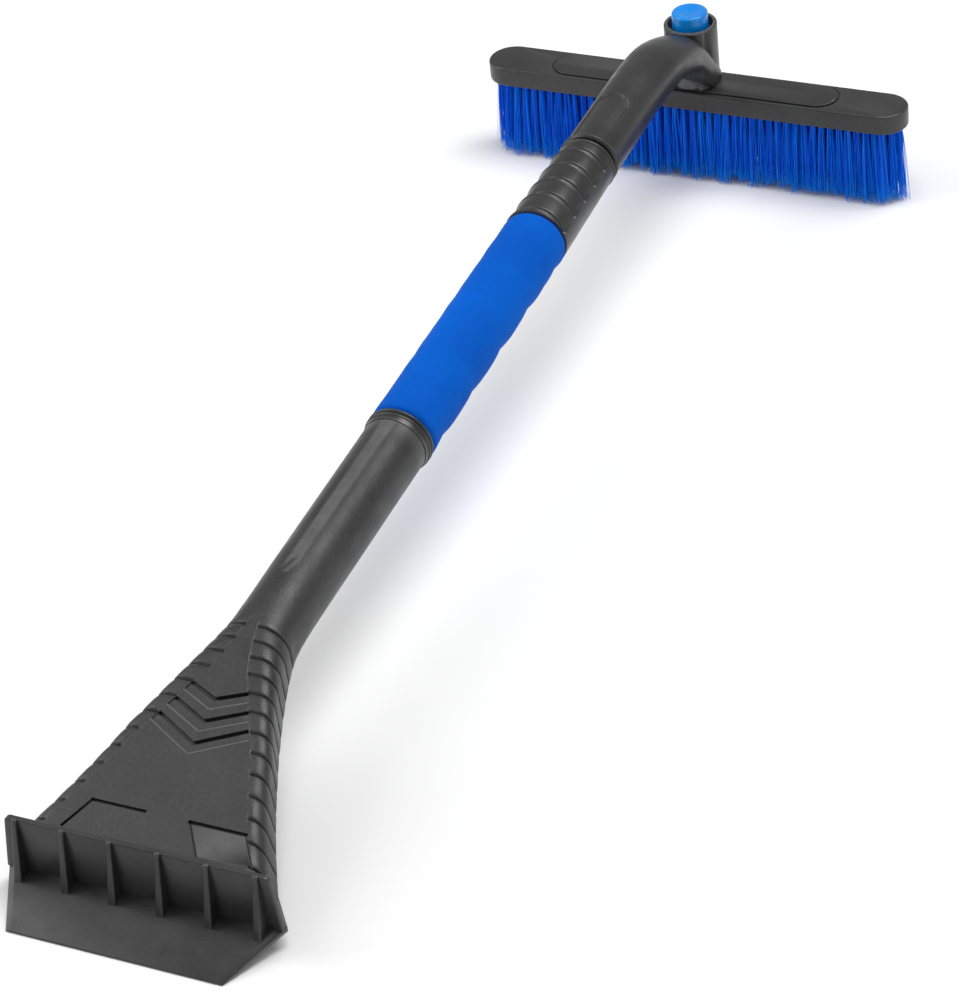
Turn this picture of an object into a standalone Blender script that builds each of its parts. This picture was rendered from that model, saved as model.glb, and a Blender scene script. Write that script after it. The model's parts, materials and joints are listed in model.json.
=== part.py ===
"""Car snow brush: swivelling brush head, push-button lock, foam grip and ice scraper.

The tool lies on a flat surface, so the bristle tips and the cutting edge are at z = 0.
X runs along the brush head, -Y runs along the handle to the scraper, +Z is up.
The swivel post's axis is the Z axis. All lengths are in metres.
"""
import math

import bmesh
import bpy
from mathutils import Matrix, Vector

# ---------------------------------------------------------------- driving dimensions
GAP = 0.0003                      # clearance between neighbouring pieces

PLATE_LENGTH = 0.248              # brush head, end to end
PLATE_WIDTH = 0.028
PLATE_HEIGHT = 0.0115             # top face down to the skirt's lower edge
PLATE_TOP = 0.057                 # height of the top face above the ground
PLATE_WALL = 0.0028
PANEL_LENGTH = 0.168              # raised panel on the top face
PANEL_WIDTH = 0.0230
PANEL_RISE = 0.0008

POST_RADIUS = 0.0147              # swivel post at the arm's end
POST_TOP = 0.0932
CUP_RADIUS = 0.0126               # inside of the post
POST_FLOOR_BOTTOM = 0.0692
POST_FLOOR_TOP = 0.0720

# The lock's parts inside the post, from the floor up.
WASHER_BOTTOM = 0.0728
WASHER_TOP = 0.0738
SPRING_TOP = 0.0799
PLUNGER_BOTTOM = 0.0802
PLUNGER_TOP = 0.0842
FLANGE_BOTTOM = 0.0845
FLANGE_TOP = 0.0860
RETAINER_BOTTOM = 0.0863
RETAINER_TOP = 0.0875
BUTTON_RADIUS = 0.01005
BUTTON_TOP = 0.1003

HANDLE_TILT = math.radians(4.7)   # handle axis falls this much towards the scraper
HANDLE_HEIGHT = 0.0987            # handle axis where it would meet the post's axis
TUBE_RADIUS = 0.0161              # moulded handle, outside
COLLAR_RADIUS = 0.0155            # at the joint; the collar widens to the foam
COLLAR_END_RADIUS = 0.0169
ARM_RADIUS = 0.0154
JOINT_RADIUS = 0.0130             # seal in the groove between arm and collar
FOAM_RADIUS = 0.0172
RING_RADIUS = 0.0174              # moulded ring at the grip's scraper end
CORE_RADIUS = 0.0110              # aluminium tube inside the grip
CORE_WALL = 0.0015

# Distances along the handle axis, measured from the post's axis.
ARM_END = 0.1455
COLLAR_START = 0.1481
GRIP_START = 0.2163
GRIP_END = 0.3810
HEAD_START = 0.3886
CORE_START = 0.1790
CORE_END = 0.4700
FAN_START = 0.5000
SPIGOT_LENGTH = 0.0295

WALL_Y = -0.6498                  # back face of the scraper's ridge wall
WALL_THICKNESS = 0.0030
WALL_HALF_WIDTH = 0.0643          # at its top
WALL_FOOT_HALF_WIDTH = 0.0678
WALL_TOP = 0.0370
BLADE_ROOT_Z = 0.0105             # blade's upper face at the foot of the wall
BLADE_THICKNESS = 0.0034
BLADE_ROOT_HALF_WIDTH = 0.0682
EDGE_Y = -0.6823                  # cutting edge
EDGE_HALF_WIDTH = 0.0527
EDGE_THICKNESS = 0.0008
FIN_COUNT = 6
FIN_PITCH = 0.0234
FIN_THICKNESS = 0.0023
FIN_REACH = 0.0072                # from the wall's front to the fin's foot

# Screws: head radius, head height, shank radius, shank length.
COVER_SCREW = (0.0028, 0.0014, 0.0015, 0.0090)
BLADE_SCREW = (0.0034, 0.0018, 0.0017, 0.0110)
TUBE_SCREW = (0.0034, 0.0017, 0.0017, 0.0068)
HUB_SCREW = (0.0029, 0.0018, 0.0015, 0.0090)

PLASTIC = (0.060, 0.060, 0.062)
FOAM_BLUE = (0.004, 0.110, 0.560)
BRISTLE_BLUE = (0.002, 0.050, 0.500)
BUTTON_BLUE = (0.005, 0.230, 0.720)
STEEL = (0.550, 0.560, 0.580)
ALUMINIUM = (0.620, 0.630, 0.650)
NYLON = (0.780, 0.780, 0.740)
RUBBER = (0.020, 0.020, 0.021)


# ---------------------------------------------------------------- scene and helpers
def clear_scene():
    for thing in list(bpy.data.objects):
        bpy.data.objects.remove(thing, do_unlink=True)


def new_collection(name):
    collection = bpy.data.collections.new(name)
    bpy.context.scene.collection.children.link(collection)
    return collection


def new_material(name, colour, roughness, metallic=0.0):
    material = bpy.data.materials.new(name)
    material.use_nodes = True
    shader = material.node_tree.nodes["Principled BSDF"]
    shader.inputs["Base Color"].default_value = (*colour, 1.0)
    shader.inputs["Roughness"].default_value = roughness
    shader.inputs["Metallic"].default_value = metallic
    return material


def new_empty(name, location, parent=None):
    empty = bpy.data.objects.new(name, None)
    empty.empty_display_size = 0.02
    PARTS.objects.link(empty)
    if parent is not None:
        empty.parent = parent
        empty.matrix_parent_inverse = Matrix.Translation(-parent.matrix_world.translation)
    empty.location = location
    bpy.context.view_layer.update()
    return empty


def new_object(name, mesh, collection=None):
    thing = bpy.data.objects.new(name, mesh)
    (collection or CUTTERS).objects.link(thing)
    return thing


def finish_part(thing, material, frame, sharp_angle=35.0):
    """Turn a working object into a finished part that hangs on a frame empty."""
    for collection in list(thing.users_collection):
        collection.objects.unlink(thing)
    PARTS.objects.link(thing)
    thing.data.materials.clear()
    thing.data.materials.append(material)
    if thing.type == "MESH":
        thing.data.shade_smooth()
        thing.data.set_sharp_from_angle(angle=math.radians(sharp_angle))
    thing.parent = frame
    thing.matrix_parent_inverse = frame.matrix_world.inverted()
    return thing


def as_mesh(thing):
    """Bake an object's modifiers or curve into a plain welded mesh at the same place."""
    bpy.context.view_layer.update()
    graph = bpy.context.evaluated_depsgraph_get()
    mesh = bpy.data.meshes.new_from_object(thing.evaluated_get(graph))
    work = bmesh.new()
    work.from_mesh(mesh)
    bmesh.ops.remove_doubles(work, verts=work.verts, dist=0.000002)
    work.to_mesh(mesh)
    work.free()
    baked = new_object(thing.name + "_solid", mesh)
    baked.matrix_world = thing.matrix_world.copy()
    name = thing.name
    bpy.data.objects.remove(thing, do_unlink=True)
    baked.name = name
    return baked


def combine(target, other, operation):
    """Apply one exact Boolean to target and remove the tool object."""
    modifier = target.modifiers.new("combine", "BOOLEAN")
    modifier.operation = operation
    modifier.solver = "EXACT"
    modifier.object = other
    result = as_mesh(target)
    bpy.data.objects.remove(other, do_unlink=True)
    return result


def cut(target, *tools):
    for tool in tools:
        target = combine(target, tool, "DIFFERENCE")
    return target


def join(target, *tools):
    for tool in tools:
        target = combine(target, tool, "UNION")
    return target


def bevel(thing, width, segments=2, angle=40.0):
    modifier = thing.modifiers.new("edges", "BEVEL")
    modifier.width = width
    modifier.segments = segments
    modifier.limit_method = "ANGLE"
    modifier.angle_limit = math.radians(angle)
    return thing


def box(name, low, high):
    mesh = bpy.data.meshes.new(name)
    work = bmesh.new()
    bmesh.ops.create_cube(work, size=1.0)
    size = Vector(high) - Vector(low)
    bmesh.ops.scale(work, vec=size, verts=work.verts)
    bmesh.ops.translate(work, vec=(Vector(high) + Vector(low)) / 2.0, verts=work.verts)
    work.to_mesh(mesh)
    work.free()
    return new_object(name, mesh)


def cylinder(name, radius, z_low, z_high, matrix=None, segments=48):
    """A capped cylinder along local Z, between two heights."""
    mesh = bpy.data.meshes.new(name)
    work = bmesh.new()
    bmesh.ops.create_cone(
        work,
        cap_ends=True,
        segments=segments,
        radius1=radius,
        radius2=radius,
        depth=z_high - z_low,
    )
    bmesh.ops.translate(work, vec=(0.0, 0.0, (z_low + z_high) / 2.0), verts=work.verts)
    work.to_mesh(mesh)
    work.free()
    thing = new_object(name, mesh)
    thing.matrix_world = matrix or Matrix.Identity(4)
    return thing


def turned(name, profile, matrix=None, steps=48):
    """Turn an outline of (radius, height) points about local Z with a Screw modifier.

    The outline runs down its outer side, so that the faces point out. It closes on
    itself where it starts off the axis, which makes a ring.
    """
    mesh = bpy.data.meshes.new(name)
    work = bmesh.new()
    points = [work.verts.new((radius, 0.0, height)) for radius, height in profile]
    for first, second in zip(points, points[1:]):
        work.edges.new((first, second))
    if profile[0][0] > 0.0:
        work.edges.new((points[-1], points[0]))
    work.to_mesh(mesh)
    work.free()
    thing = new_object(name, mesh)
    screw = thing.modifiers.new("turn", "SCREW")
    screw.axis = "Z"
    screw.steps = steps
    screw.render_steps = steps
    screw.use_merge_vertices = True
    screw.merge_threshold = 0.00001
    thing.matrix_world = matrix or Matrix.Identity(4)
    return as_mesh(thing)


def ring(name, inner, outer, z_low, z_high, matrix=None, steps=48):
    profile = [(outer, z_high), (outer, z_low), (inner, z_low), (inner, z_high)]
    return turned(name, profile, matrix, steps)


def flat_outline(name, points, thickness, matrix=None):
    """A filled 2D curve, extruded by half the thickness to each side of local Z = 0."""
    curve = bpy.data.curves.new(name, "CURVE")
    curve.dimensions = "2D"
    curve.fill_mode = "BOTH"
    curve.extrude = thickness / 2.0
    spline = curve.splines.new("POLY")
    spline.points.add(len(points) - 1)
    for control, (x, y) in zip(spline.points, points):
        control.co = (x, y, 0.0, 1.0)
    spline.use_cyclic_u = True
    thing = new_object(name, curve)
    thing.matrix_world = matrix or Matrix.Identity(4)
    return as_mesh(thing)


def loft(name, sections):
    """Skin closed loops with equal point counts and cap both ends."""
    mesh = bpy.data.meshes.new(name)
    work = bmesh.new()
    loops = [[work.verts.new(point) for point in section] for section in sections]
    count = len(loops[0])
    for near, far in zip(loops, loops[1:]):
        for index in range(count):
            after = (index + 1) % count
            work.faces.new((near[index], near[after], far[after], far[index]))
    work.faces.new(list(reversed(loops[0])))
    work.faces.new(loops[-1])
    bmesh.ops.recalc_face_normals(work, faces=work.faces)
    work.to_mesh(mesh)
    work.free()
    return new_object(name, mesh)


def arc_points(centre, radius, start, end, count):
    """Points on an arc between two angles in degrees, both ends included."""
    points = []
    for index in range(count):
        angle = math.radians(start + (end - start) * index / (count - 1))
        x = centre[0] + radius * math.cos(angle)
        y = centre[1] + radius * math.sin(angle)
        points.append((x, y))
    return points


def stadium(length, width, count=13):
    reach = (length - width) / 2.0
    right = arc_points((reach, 0.0), width / 2.0, -90.0, 90.0, count)
    left = arc_points((-reach, 0.0), width / 2.0, 90.0, 270.0, count)
    return right + left


def rounded_section(half_width, half_height, corner, count=7):
    """A rounded rectangle that becomes a circle when the corner takes up all of it."""
    points = []
    for quarter in range(4):
        side_x = 1.0 if quarter in (0, 3) else -1.0
        side_z = 1.0 if quarter in (0, 1) else -1.0
        centre = (side_x * (half_width - corner), side_z * (half_height - corner))
        start = 90.0 * quarter
        points += arc_points(centre, corner, start, start + 90.0, count)
    return points


def handle_point(distance):
    """A point on the handle axis, by its distance from the post's axis."""
    drop = distance * math.sin(HANDLE_TILT)
    return Vector((0.0, -distance * math.cos(HANDLE_TILT), HANDLE_HEIGHT - drop))


def handle_frame(distance):
    """Local +Z runs along the handle to the scraper and local +Y points up."""
    turn = Matrix.Rotation(math.radians(90.0) + HANDLE_TILT, 4, "X")
    return Matrix.Translation(handle_point(distance)) @ turn


def screw_hole(radius, z_low, z_high, matrix):
    """A cutter for a hole that clears a screw of this radius."""
    return cylinder("hole", radius + GAP, z_low, z_high, matrix, 20)


def underside_screw(name, place, size, frame):
    """A pan-head screw whose head is at the bottom and whose shank runs up local Z."""
    head_radius, head_height, shank_radius, length = size
    profile = [
        (0.0, head_height + length),
        (shank_radius, head_height + length),
        (shank_radius, head_height),
        (head_radius, head_height),
        (head_radius, 0.0),
        (0.0, 0.0),
    ]
    screw = turned(name, profile, place, steps=20)
    return finish_part(screw, MATERIALS["steel"], frame)


# ---------------------------------------------------------------- scraper head
FAN_BEND_Y = -0.520               # where the round handle turns into the fan
TOP_AT_BEND = 0.0743              # height of the fan's sloping top there
TOP_SOFTNESS = 0.003              # how gently the slope blends into the round handle
FLARE_Y = -0.525                  # where the fan starts to widen
FLARE_RUN = 0.127
FLARE_GROWTH = 0.0530
FLARE_POWER = 1.47
DRAFT_Y = -0.590                  # beyond this the top face is narrower than the bottom
DRAFT = 0.0095
TOP_SLOPE = 0.3357
CORNER_RADIUS = 0.0068


def handle_height(y):
    return HANDLE_HEIGHT + y * math.tan(HANDLE_TILT)


def flare_half_width(y):
    """Half the fan's width: the tube's radius, then a power-law flare to the blade."""
    run = max(0.0, FLARE_Y - y)
    return TUBE_RADIUS + FLARE_GROWTH * (run / FLARE_RUN) ** FLARE_POWER


def fan_draft(y):
    """How much narrower the fan is at its top face than at its underside, per side."""
    share = (DRAFT_Y - y) / (DRAFT_Y - WALL_Y)
    return DRAFT * min(1.0, max(0.0, share))


def fan_top(y):
    """Height of the fan's upper face, a flat slope that blends into the round handle."""
    tube_top = handle_height(y) + TUBE_RADIUS
    slope_top = TOP_AT_BEND + (y - FAN_BEND_Y) * TOP_SLOPE
    blend = math.exp(-tube_top / TOP_SOFTNESS) + math.exp(-slope_top / TOP_SOFTNESS)
    return -TOP_SOFTNESS * math.log(blend)


def underside_slope():
    rise = handle_height(FAN_BEND_Y) - TUBE_RADIUS - BLADE_ROOT_Z
    return rise / (FAN_BEND_Y - WALL_Y)


def fan_bottom(y):
    """Height of the fan's underside, one slope from the handle down to the blade."""
    tube_bottom = handle_height(y) - TUBE_RADIUS
    return min(tube_bottom, BLADE_ROOT_Z + (y - WALL_Y) * underside_slope())


def underside_frame(y):
    """On the fan's sloping underside: local +Z points up, square to the underside."""
    tilt = Matrix.Rotation(math.atan(underside_slope()), 4, "X")
    return Matrix.Translation((0.0, y, fan_bottom(y))) @ tilt


def fan_section(share):
    """One cross-section of the fan, from the round handle (0) to the blade wall (1)."""
    first = handle_point(FAN_START).y
    y = first + (WALL_Y + GAP - first) * share
    half_height = (fan_top(y) - fan_bottom(y)) / 2.0
    centre = (fan_top(y) + fan_bottom(y)) / 2.0
    ease = min(1.0, max(0.0, (share - 0.05) / 0.45))
    ease = ease * ease * (3.0 - 2.0 * ease)
    corner = half_height * 0.9999 * (1.0 - ease) + CORNER_RADIUS * ease
    half_width = max(flare_half_width(y), half_height)
    lean = HANDLE_TILT * (1.0 - share)
    points = []
    for x, z in rounded_section(half_width, half_height, corner):
        height_share = (z + half_height) / (2.0 * half_height)
        narrowing = 1.0 - fan_draft(y) * height_share / half_width
        points.append(Vector((x * narrowing, y - z * math.sin(lean), centre + z)))
    return points


def fan_sections():
    sections = []
    tube_stations = 3
    for index in range(tube_stations):
        distance = HEAD_START + (FAN_START - HEAD_START) * index / tube_stations
        frame = handle_frame(distance)
        loop = rounded_section(TUBE_RADIUS, TUBE_RADIUS, TUBE_RADIUS * 0.9999)
        sections.append([frame @ Vector((x, z, 0.0)) for x, z in loop])
    fan_stations = 30
    for index in range(fan_stations + 1):
        sections.append(fan_section(index / fan_stations))
    return sections


COVER_BACK_Y = -0.532             # back cover, end nearest the handle
COVER_FRONT_Y = -0.620            # back cover, end nearest the blade
POCKET_DEPTH = 0.0130
COVER_THICKNESS = 0.0025
BOSS_RADIUS = 0.0042              # screw bosses in the pocket


def cover_outline(inset):
    """Trapezoid in the underside's own plane, drawn from its front edge backwards."""
    run = (COVER_BACK_Y - COVER_FRONT_Y) / math.cos(math.atan(underside_slope()))
    front = flare_half_width(COVER_FRONT_Y) - 0.0085 - inset
    back = flare_half_width(COVER_BACK_Y) - 0.0080 - inset
    return [(-front, inset), (front, inset), (back, run - inset), (-back, run - inset)]


def cover_screw_places():
    """Two screws near each end of the back cover: local +Z points up into the head."""
    places = []
    for y, share in ((-0.548, 0.35), (-0.612, 0.72)):
        for side in (-1.0, 1.0):
            x = side * share * (flare_half_width(y) - 0.0085)
            places.append(underside_frame(y) @ Matrix.Translation((x, 0.0, 0.0)))
    return places


BLADE_SCREW_X = 0.040             # the outer two of the three
BLADE_SCREW_Y = -0.6405
BLADE_SINK_DEPTH = 0.0014


def blade_screw_places():
    """Three screws through the blade's tongue: local +Z points up into the head."""
    place = underside_frame(BLADE_SCREW_Y)
    return [place @ Matrix.Translation((x, 0.0, 0.0)) for x in (-BLADE_SCREW_X, 0.0, BLADE_SCREW_X)]


def make_scraper_head(frame):
    head = loft("scraper_head", fan_sections())
    bore_length = CORE_END + 0.002 - HEAD_START
    bore = cylinder("tube_bore", CORE_RADIUS + GAP, -0.005, bore_length, handle_frame(HEAD_START))
    below = 0.004                 # how far the pocket's cutter starts outside the underside
    lift = Matrix.Translation((0.0, 0.0, (POCKET_DEPTH - below) / 2.0))
    pocket_place = underside_frame(COVER_FRONT_Y) @ lift
    pocket = flat_outline("cover_pocket", cover_outline(0.0), POCKET_DEPTH + below, pocket_place)
    head = cut(head, bore, pocket)
    boss_start = COVER_THICKNESS + GAP
    boss_end = POCKET_DEPTH + 0.004
    for place in cover_screw_places():
        head = join(head, cylinder("boss", BOSS_RADIUS, boss_start, boss_end, place, 24))
    holes = [screw_hole(COVER_SCREW[2], 0.0, 0.0115, place) for place in cover_screw_places()]
    holes += [screw_hole(BLADE_SCREW[2], -0.002, 0.0105, place) for place in blade_screw_places()]
    place = tube_screw_place(LOWER_SCREW_AT, TUBE_RADIUS)
    holes.append(screw_hole(TUBE_SCREW[2], -0.002, 0.010, place))
    holes.append(screw_hole(TUBE_SCREW[0], -0.004, TUBE_SINK_DEPTH, place))
    head = cut(head, *holes)
    return finish_part(head, MATERIALS["plastic"], frame)


def make_back_cover(frame):
    lift = Matrix.Translation((0.0, 0.0, COVER_THICKNESS / 2.0))
    place = underside_frame(COVER_FRONT_Y) @ lift
    cover = flat_outline("back_cover", cover_outline(GAP), COVER_THICKNESS, place)
    head_radius, head_height, shank_radius, _ = COVER_SCREW
    for spot in cover_screw_places():
        hole = screw_hole(shank_radius, -0.002, 0.005, spot)
        sink = screw_hole(head_radius, -0.002, head_height + GAP, spot)
        cover = cut(cover, hole, sink)
    finish_part(cover, MATERIALS["plastic"], frame)
    for number, spot in enumerate(cover_screw_places(), start=1):
        place = spot @ Matrix.Translation((0.0, 0.0, GAP / 2.0))
        underside_screw(f"cover_screw_{number}", place, COVER_SCREW, frame)


TONGUE_END_Y = -0.6300            # how far the blade's tongue reaches under the head


def blade_section(y, half_width, top, thickness):
    """A rectangle across the blade, hung from its top face."""
    corners = ((-1.0, -1.0), (1.0, -1.0), (1.0, 0.0), (-1.0, 0.0))
    return [Vector((side * half_width, y, top + low * thickness)) for side, low in corners]


def make_wall():
    """The upright ridge wall, a little wider at its foot."""
    foot = BLADE_ROOT_Z - 0.0020
    outline = [
        (-WALL_FOOT_HALF_WIDTH, foot),
        (WALL_FOOT_HALF_WIDTH, foot),
        (WALL_HALF_WIDTH, WALL_TOP),
        (-WALL_HALF_WIDTH, WALL_TOP),
    ]
    upright = Matrix.Rotation(math.radians(90.0), 4, "X")
    place = Matrix.Translation((0.0, WALL_Y - WALL_THICKNESS / 2.0, 0.0)) @ upright
    return as_mesh(bevel(flat_outline("wall", outline, WALL_THICKNESS, place), 0.0008, 1))


def fin_outline():
    """One gusset between the ridge wall and the blade, as (y, z) points."""
    front = WALL_Y - WALL_THICKNESS
    slope = BLADE_ROOT_Z / (EDGE_Y - WALL_Y)
    foot_y = front - FIN_REACH
    foot_z = BLADE_ROOT_Z - (foot_y - WALL_Y) * slope
    return [
        (front + 0.0010, WALL_TOP - 0.0004),
        (front - 0.0012, WALL_TOP + 0.0004),
        (foot_y, foot_z - 0.0008),
        (front + 0.0010, foot_z - 0.0008),
    ]


def make_ice_blade(frame):
    tongue_half_width = flare_half_width(TONGUE_END_Y) - 0.004
    tongue_top = fan_bottom(TONGUE_END_Y) - GAP
    slab = [
        blade_section(TONGUE_END_Y, tongue_half_width, tongue_top, BLADE_THICKNESS),
        blade_section(WALL_Y, BLADE_ROOT_HALF_WIDTH, BLADE_ROOT_Z - GAP, BLADE_THICKNESS),
        blade_section(EDGE_Y, EDGE_HALF_WIDTH, EDGE_THICKNESS, EDGE_THICKNESS),
    ]
    blade = join(loft("ice_blade", slab), make_wall())
    sideways = Matrix.Rotation(math.radians(90.0), 4, "Z") @ Matrix.Rotation(math.radians(90.0), 4, "X")
    for number in range(FIN_COUNT):
        x = (number - (FIN_COUNT - 1) / 2.0) * FIN_PITCH
        place = Matrix.Translation((x, 0.0, 0.0)) @ sideways
        blade = join(blade, flat_outline("fin", fin_outline(), FIN_THICKNESS, place))
    head_radius, _, shank_radius, _ = BLADE_SCREW
    skin = Matrix.Translation((0.0, 0.0, -BLADE_THICKNESS))
    for place in blade_screw_places():
        hole = screw_hole(shank_radius, -0.004, 0.006, place @ skin)
        sink = screw_hole(head_radius, -0.004, BLADE_SINK_DEPTH, place @ skin)
        blade = cut(blade, hole, sink)
    finish_part(blade, MATERIALS["plastic"], frame)
    seat = Matrix.Translation((0.0, 0.0, BLADE_SINK_DEPTH - GAP - BLADE_SCREW[1]))
    for label, place in zip(("left", "middle", "right"), blade_screw_places()):
        underside_screw(f"blade_screw_{label}", place @ skin @ seat, BLADE_SCREW, frame)


# ---------------------------------------------------------------- handle and grip
LOWER_SCREW_AT = 0.4300
UPPER_SCREW_AT = 0.1905
TUBE_SINK_DEPTH = 0.0023
TUBE_HOLE_DEPTH = 0.0095          # through the skin and the tube's wall
RIB_COUNT = 5
RIB_FIRST = 0.0087                # from the collar's brush end to the first step
RIB_PITCH = 0.0140
RIB_DEPTH = 0.0009
RIB_RAMP = 0.0050                 # length of the ramp before each step


def tube_screw_place(distance, radius):
    """Under the handle: local +Z points up at the axis and starts on the skin."""
    turn = handle_frame(distance) @ Matrix.Rotation(math.radians(-90.0), 4, "X")
    return turn @ Matrix.Translation((0.0, 0.0, -radius))


def make_handle_tube(frame):
    place = handle_frame(0.0)
    tube = ring("handle_tube", CORE_RADIUS - CORE_WALL, CORE_RADIUS, CORE_START, CORE_END, place, 40)
    places = {
        "upper": tube_screw_place(UPPER_SCREW_AT, collar_radius(UPPER_SCREW_AT)),
        "lower": tube_screw_place(LOWER_SCREW_AT, TUBE_RADIUS),
    }
    for spot in places.values():
        tube = cut(tube, screw_hole(TUBE_SCREW[2], -0.002, TUBE_HOLE_DEPTH, spot))
    finish_part(tube, MATERIALS["aluminium"], frame)
    for label, place in places.items():
        spot = place @ Matrix.Translation((0.0, 0.0, GAP))
        underside_screw(f"tube_screw_{label}", spot, TUBE_SCREW, frame)


def make_foam_grip(frame):
    """A foam sleeve with rounded ends."""
    round_off = 0.0022
    middle = FOAM_RADIUS - round_off
    lower = arc_points((middle, GRIP_END - round_off), round_off, 90.0, 0.0, 4)
    upper = arc_points((middle, GRIP_START + round_off), round_off, 0.0, -90.0, 4)
    inside = [(CORE_RADIUS + GAP, GRIP_START), (CORE_RADIUS + GAP, GRIP_END)]
    grip = turned("foam_grip", lower + upper + inside, handle_frame(0.0), 40)
    return finish_part(grip, MATERIALS["foam"], frame)


def make_grip_end_ring(frame):
    """The moulded ring that the foam butts against at the scraper end."""
    start = GRIP_END + GAP
    end = HEAD_START - GAP
    profile = [
        (TUBE_RADIUS + 0.0002, end),
        (RING_RADIUS, end - 0.0012),
        (RING_RADIUS, start + 0.0008),
        (RING_RADIUS - 0.0008, start),
        (CORE_RADIUS + GAP, start),
        (CORE_RADIUS + GAP, end),
    ]
    ring_part = turned("grip_end_ring", profile, handle_frame(0.0), 40)
    return finish_part(ring_part, MATERIALS["plastic"], frame)


def collar_radius(distance):
    """The collar is a slight cone between the joint and the foam."""
    share = (distance - COLLAR_START) / (GRIP_START - COLLAR_START)
    return COLLAR_RADIUS + (COLLAR_END_RADIUS - COLLAR_RADIUS) * share


def collar_profile():
    """Finger ribs like scales: each ramp falls to a step that faces the brush."""
    start = COLLAR_START
    end = GRIP_START - GAP
    outer = [(collar_radius(end), end)]
    for number in reversed(range(RIB_COUNT)):
        step = start + RIB_FIRST + RIB_PITCH * number
        root = collar_radius(step) - RIB_DEPTH
        ramp = step - RIB_RAMP
        outer.append((collar_radius(step), step + 0.0007))
        outer.append((root, step))
        outer.append((root, step - 0.0002))
        outer.append((collar_radius(ramp), ramp))
    outer.append((COLLAR_RADIUS, start + 0.0006))
    outer.append((COLLAR_RADIUS - 0.0006, start))
    inside = [(CORE_RADIUS + GAP, start), (CORE_RADIUS + GAP, end)]
    return outer + inside


def make_ribbed_collar(frame):
    collar = turned("ribbed_collar", collar_profile(), handle_frame(0.0), 40)
    spot = tube_screw_place(UPPER_SCREW_AT, collar_radius(UPPER_SCREW_AT))
    hole = screw_hole(TUBE_SCREW[2], -0.002, TUBE_HOLE_DEPTH, spot)
    sink = screw_hole(TUBE_SCREW[0], -0.004, TUBE_SINK_DEPTH, spot)
    collar = cut(collar, hole, sink)
    return finish_part(collar, MATERIALS["plastic"], frame)


def make_joint_ring(frame):
    joint = ring(
        "joint_ring",
        CORE_RADIUS + GAP,
        JOINT_RADIUS,
        ARM_END + GAP,
        COLLAR_START - GAP,
        handle_frame(0.0),
        40,
    )
    return finish_part(joint, MATERIALS["rubber"], frame)


# ---------------------------------------------------------------- swan-neck arm
NECK_BEND_START = 0.0620          # distance from the post's axis where the bends begin
NECK_BENDS = ((0.075, math.radians(27.8)), (0.035, math.radians(25.0)))
NECK_LAST_RUN = 0.0275            # straight, through the post
NECK_THIN_START = 0.058           # along the neck from the joint: starts to get thinner
NECK_THIN_END = 0.120
NECK_END_HALF_HEIGHT = 0.0095
JOURNAL_RADIUS = 0.0067           # the hub's upper end, in the post's floor
HOOD_RADIUS = 0.0165              # the neck's end wraps round the post's foot
WINDOW_BACK_Y = -0.0017           # arched opening under the neck that shows the hub
WINDOW_SLOPE = math.radians(30.0)
WINDOW_HALF_WIDTH = 0.0119
WINDOW_HALF_HEIGHT = 0.0140


def neck_point(run):
    """Centre and lean of the neck, by the distance along it from the joint."""
    straight = ARM_END - NECK_BEND_START
    centre = handle_point(ARM_END - min(run, straight))
    lean = HANDLE_TILT
    left = run - straight
    for radius, angle in NECK_BENDS:
        turned_by = min(angle, max(0.0, left / radius))
        after = lean - turned_by
        ahead = radius * (math.sin(lean) - math.sin(after))
        rise = radius * (math.cos(after) - math.cos(lean))
        centre = centre + Vector((0.0, ahead, rise))
        lean = after
        left -= radius * angle
    ahead = Vector((0.0, math.cos(lean), math.sin(lean)))
    return centre + ahead * max(0.0, left), lean


def neck_length():
    bends = sum(radius * angle for radius, angle in NECK_BENDS)
    return ARM_END - NECK_BEND_START + bends + NECK_LAST_RUN


def neck_section(run, count=36):
    """Round at the joint, lower and oval where the arm meets the swivel post."""
    centre, lean = neck_point(run)
    share = (run - NECK_THIN_START) / (NECK_THIN_END - NECK_THIN_START)
    share = min(1.0, max(0.0, share))
    ease = share * share * (3.0 - 2.0 * share)
    half_height = ARM_RADIUS + (NECK_END_HALF_HEIGHT - ARM_RADIUS) * ease
    half_width = ARM_RADIUS + (HOOD_RADIUS - ARM_RADIUS) * ease
    half_width = min(half_width, math.sqrt(HOOD_RADIUS**2 - max(0.0, centre.y) ** 2))
    up = Vector((0.0, -math.sin(lean), math.cos(lean)))
    loop = []
    for step in range(count):
        angle = 2.0 * math.pi * step / count
        side = Vector((half_width * math.cos(angle), 0.0, 0.0))
        loop.append(centre + side + up * (half_height * math.sin(angle)))
    return loop


def window_place(foot):
    """Local Z rises forwards through the opening; its crown starts at the plate."""
    start = Matrix.Translation((0.0, WINDOW_BACK_Y, foot))
    lean = Matrix.Rotation(math.radians(90.0) - WINDOW_SLOPE, 4, "X")
    crown = Matrix.Translation((0.0, -WINDOW_HALF_HEIGHT, 0.0))
    oval = Matrix.Diagonal((1.0, WINDOW_HALF_HEIGHT / WINDOW_HALF_WIDTH, 1.0, 1.0))
    return start @ lean @ crown @ oval


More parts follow.
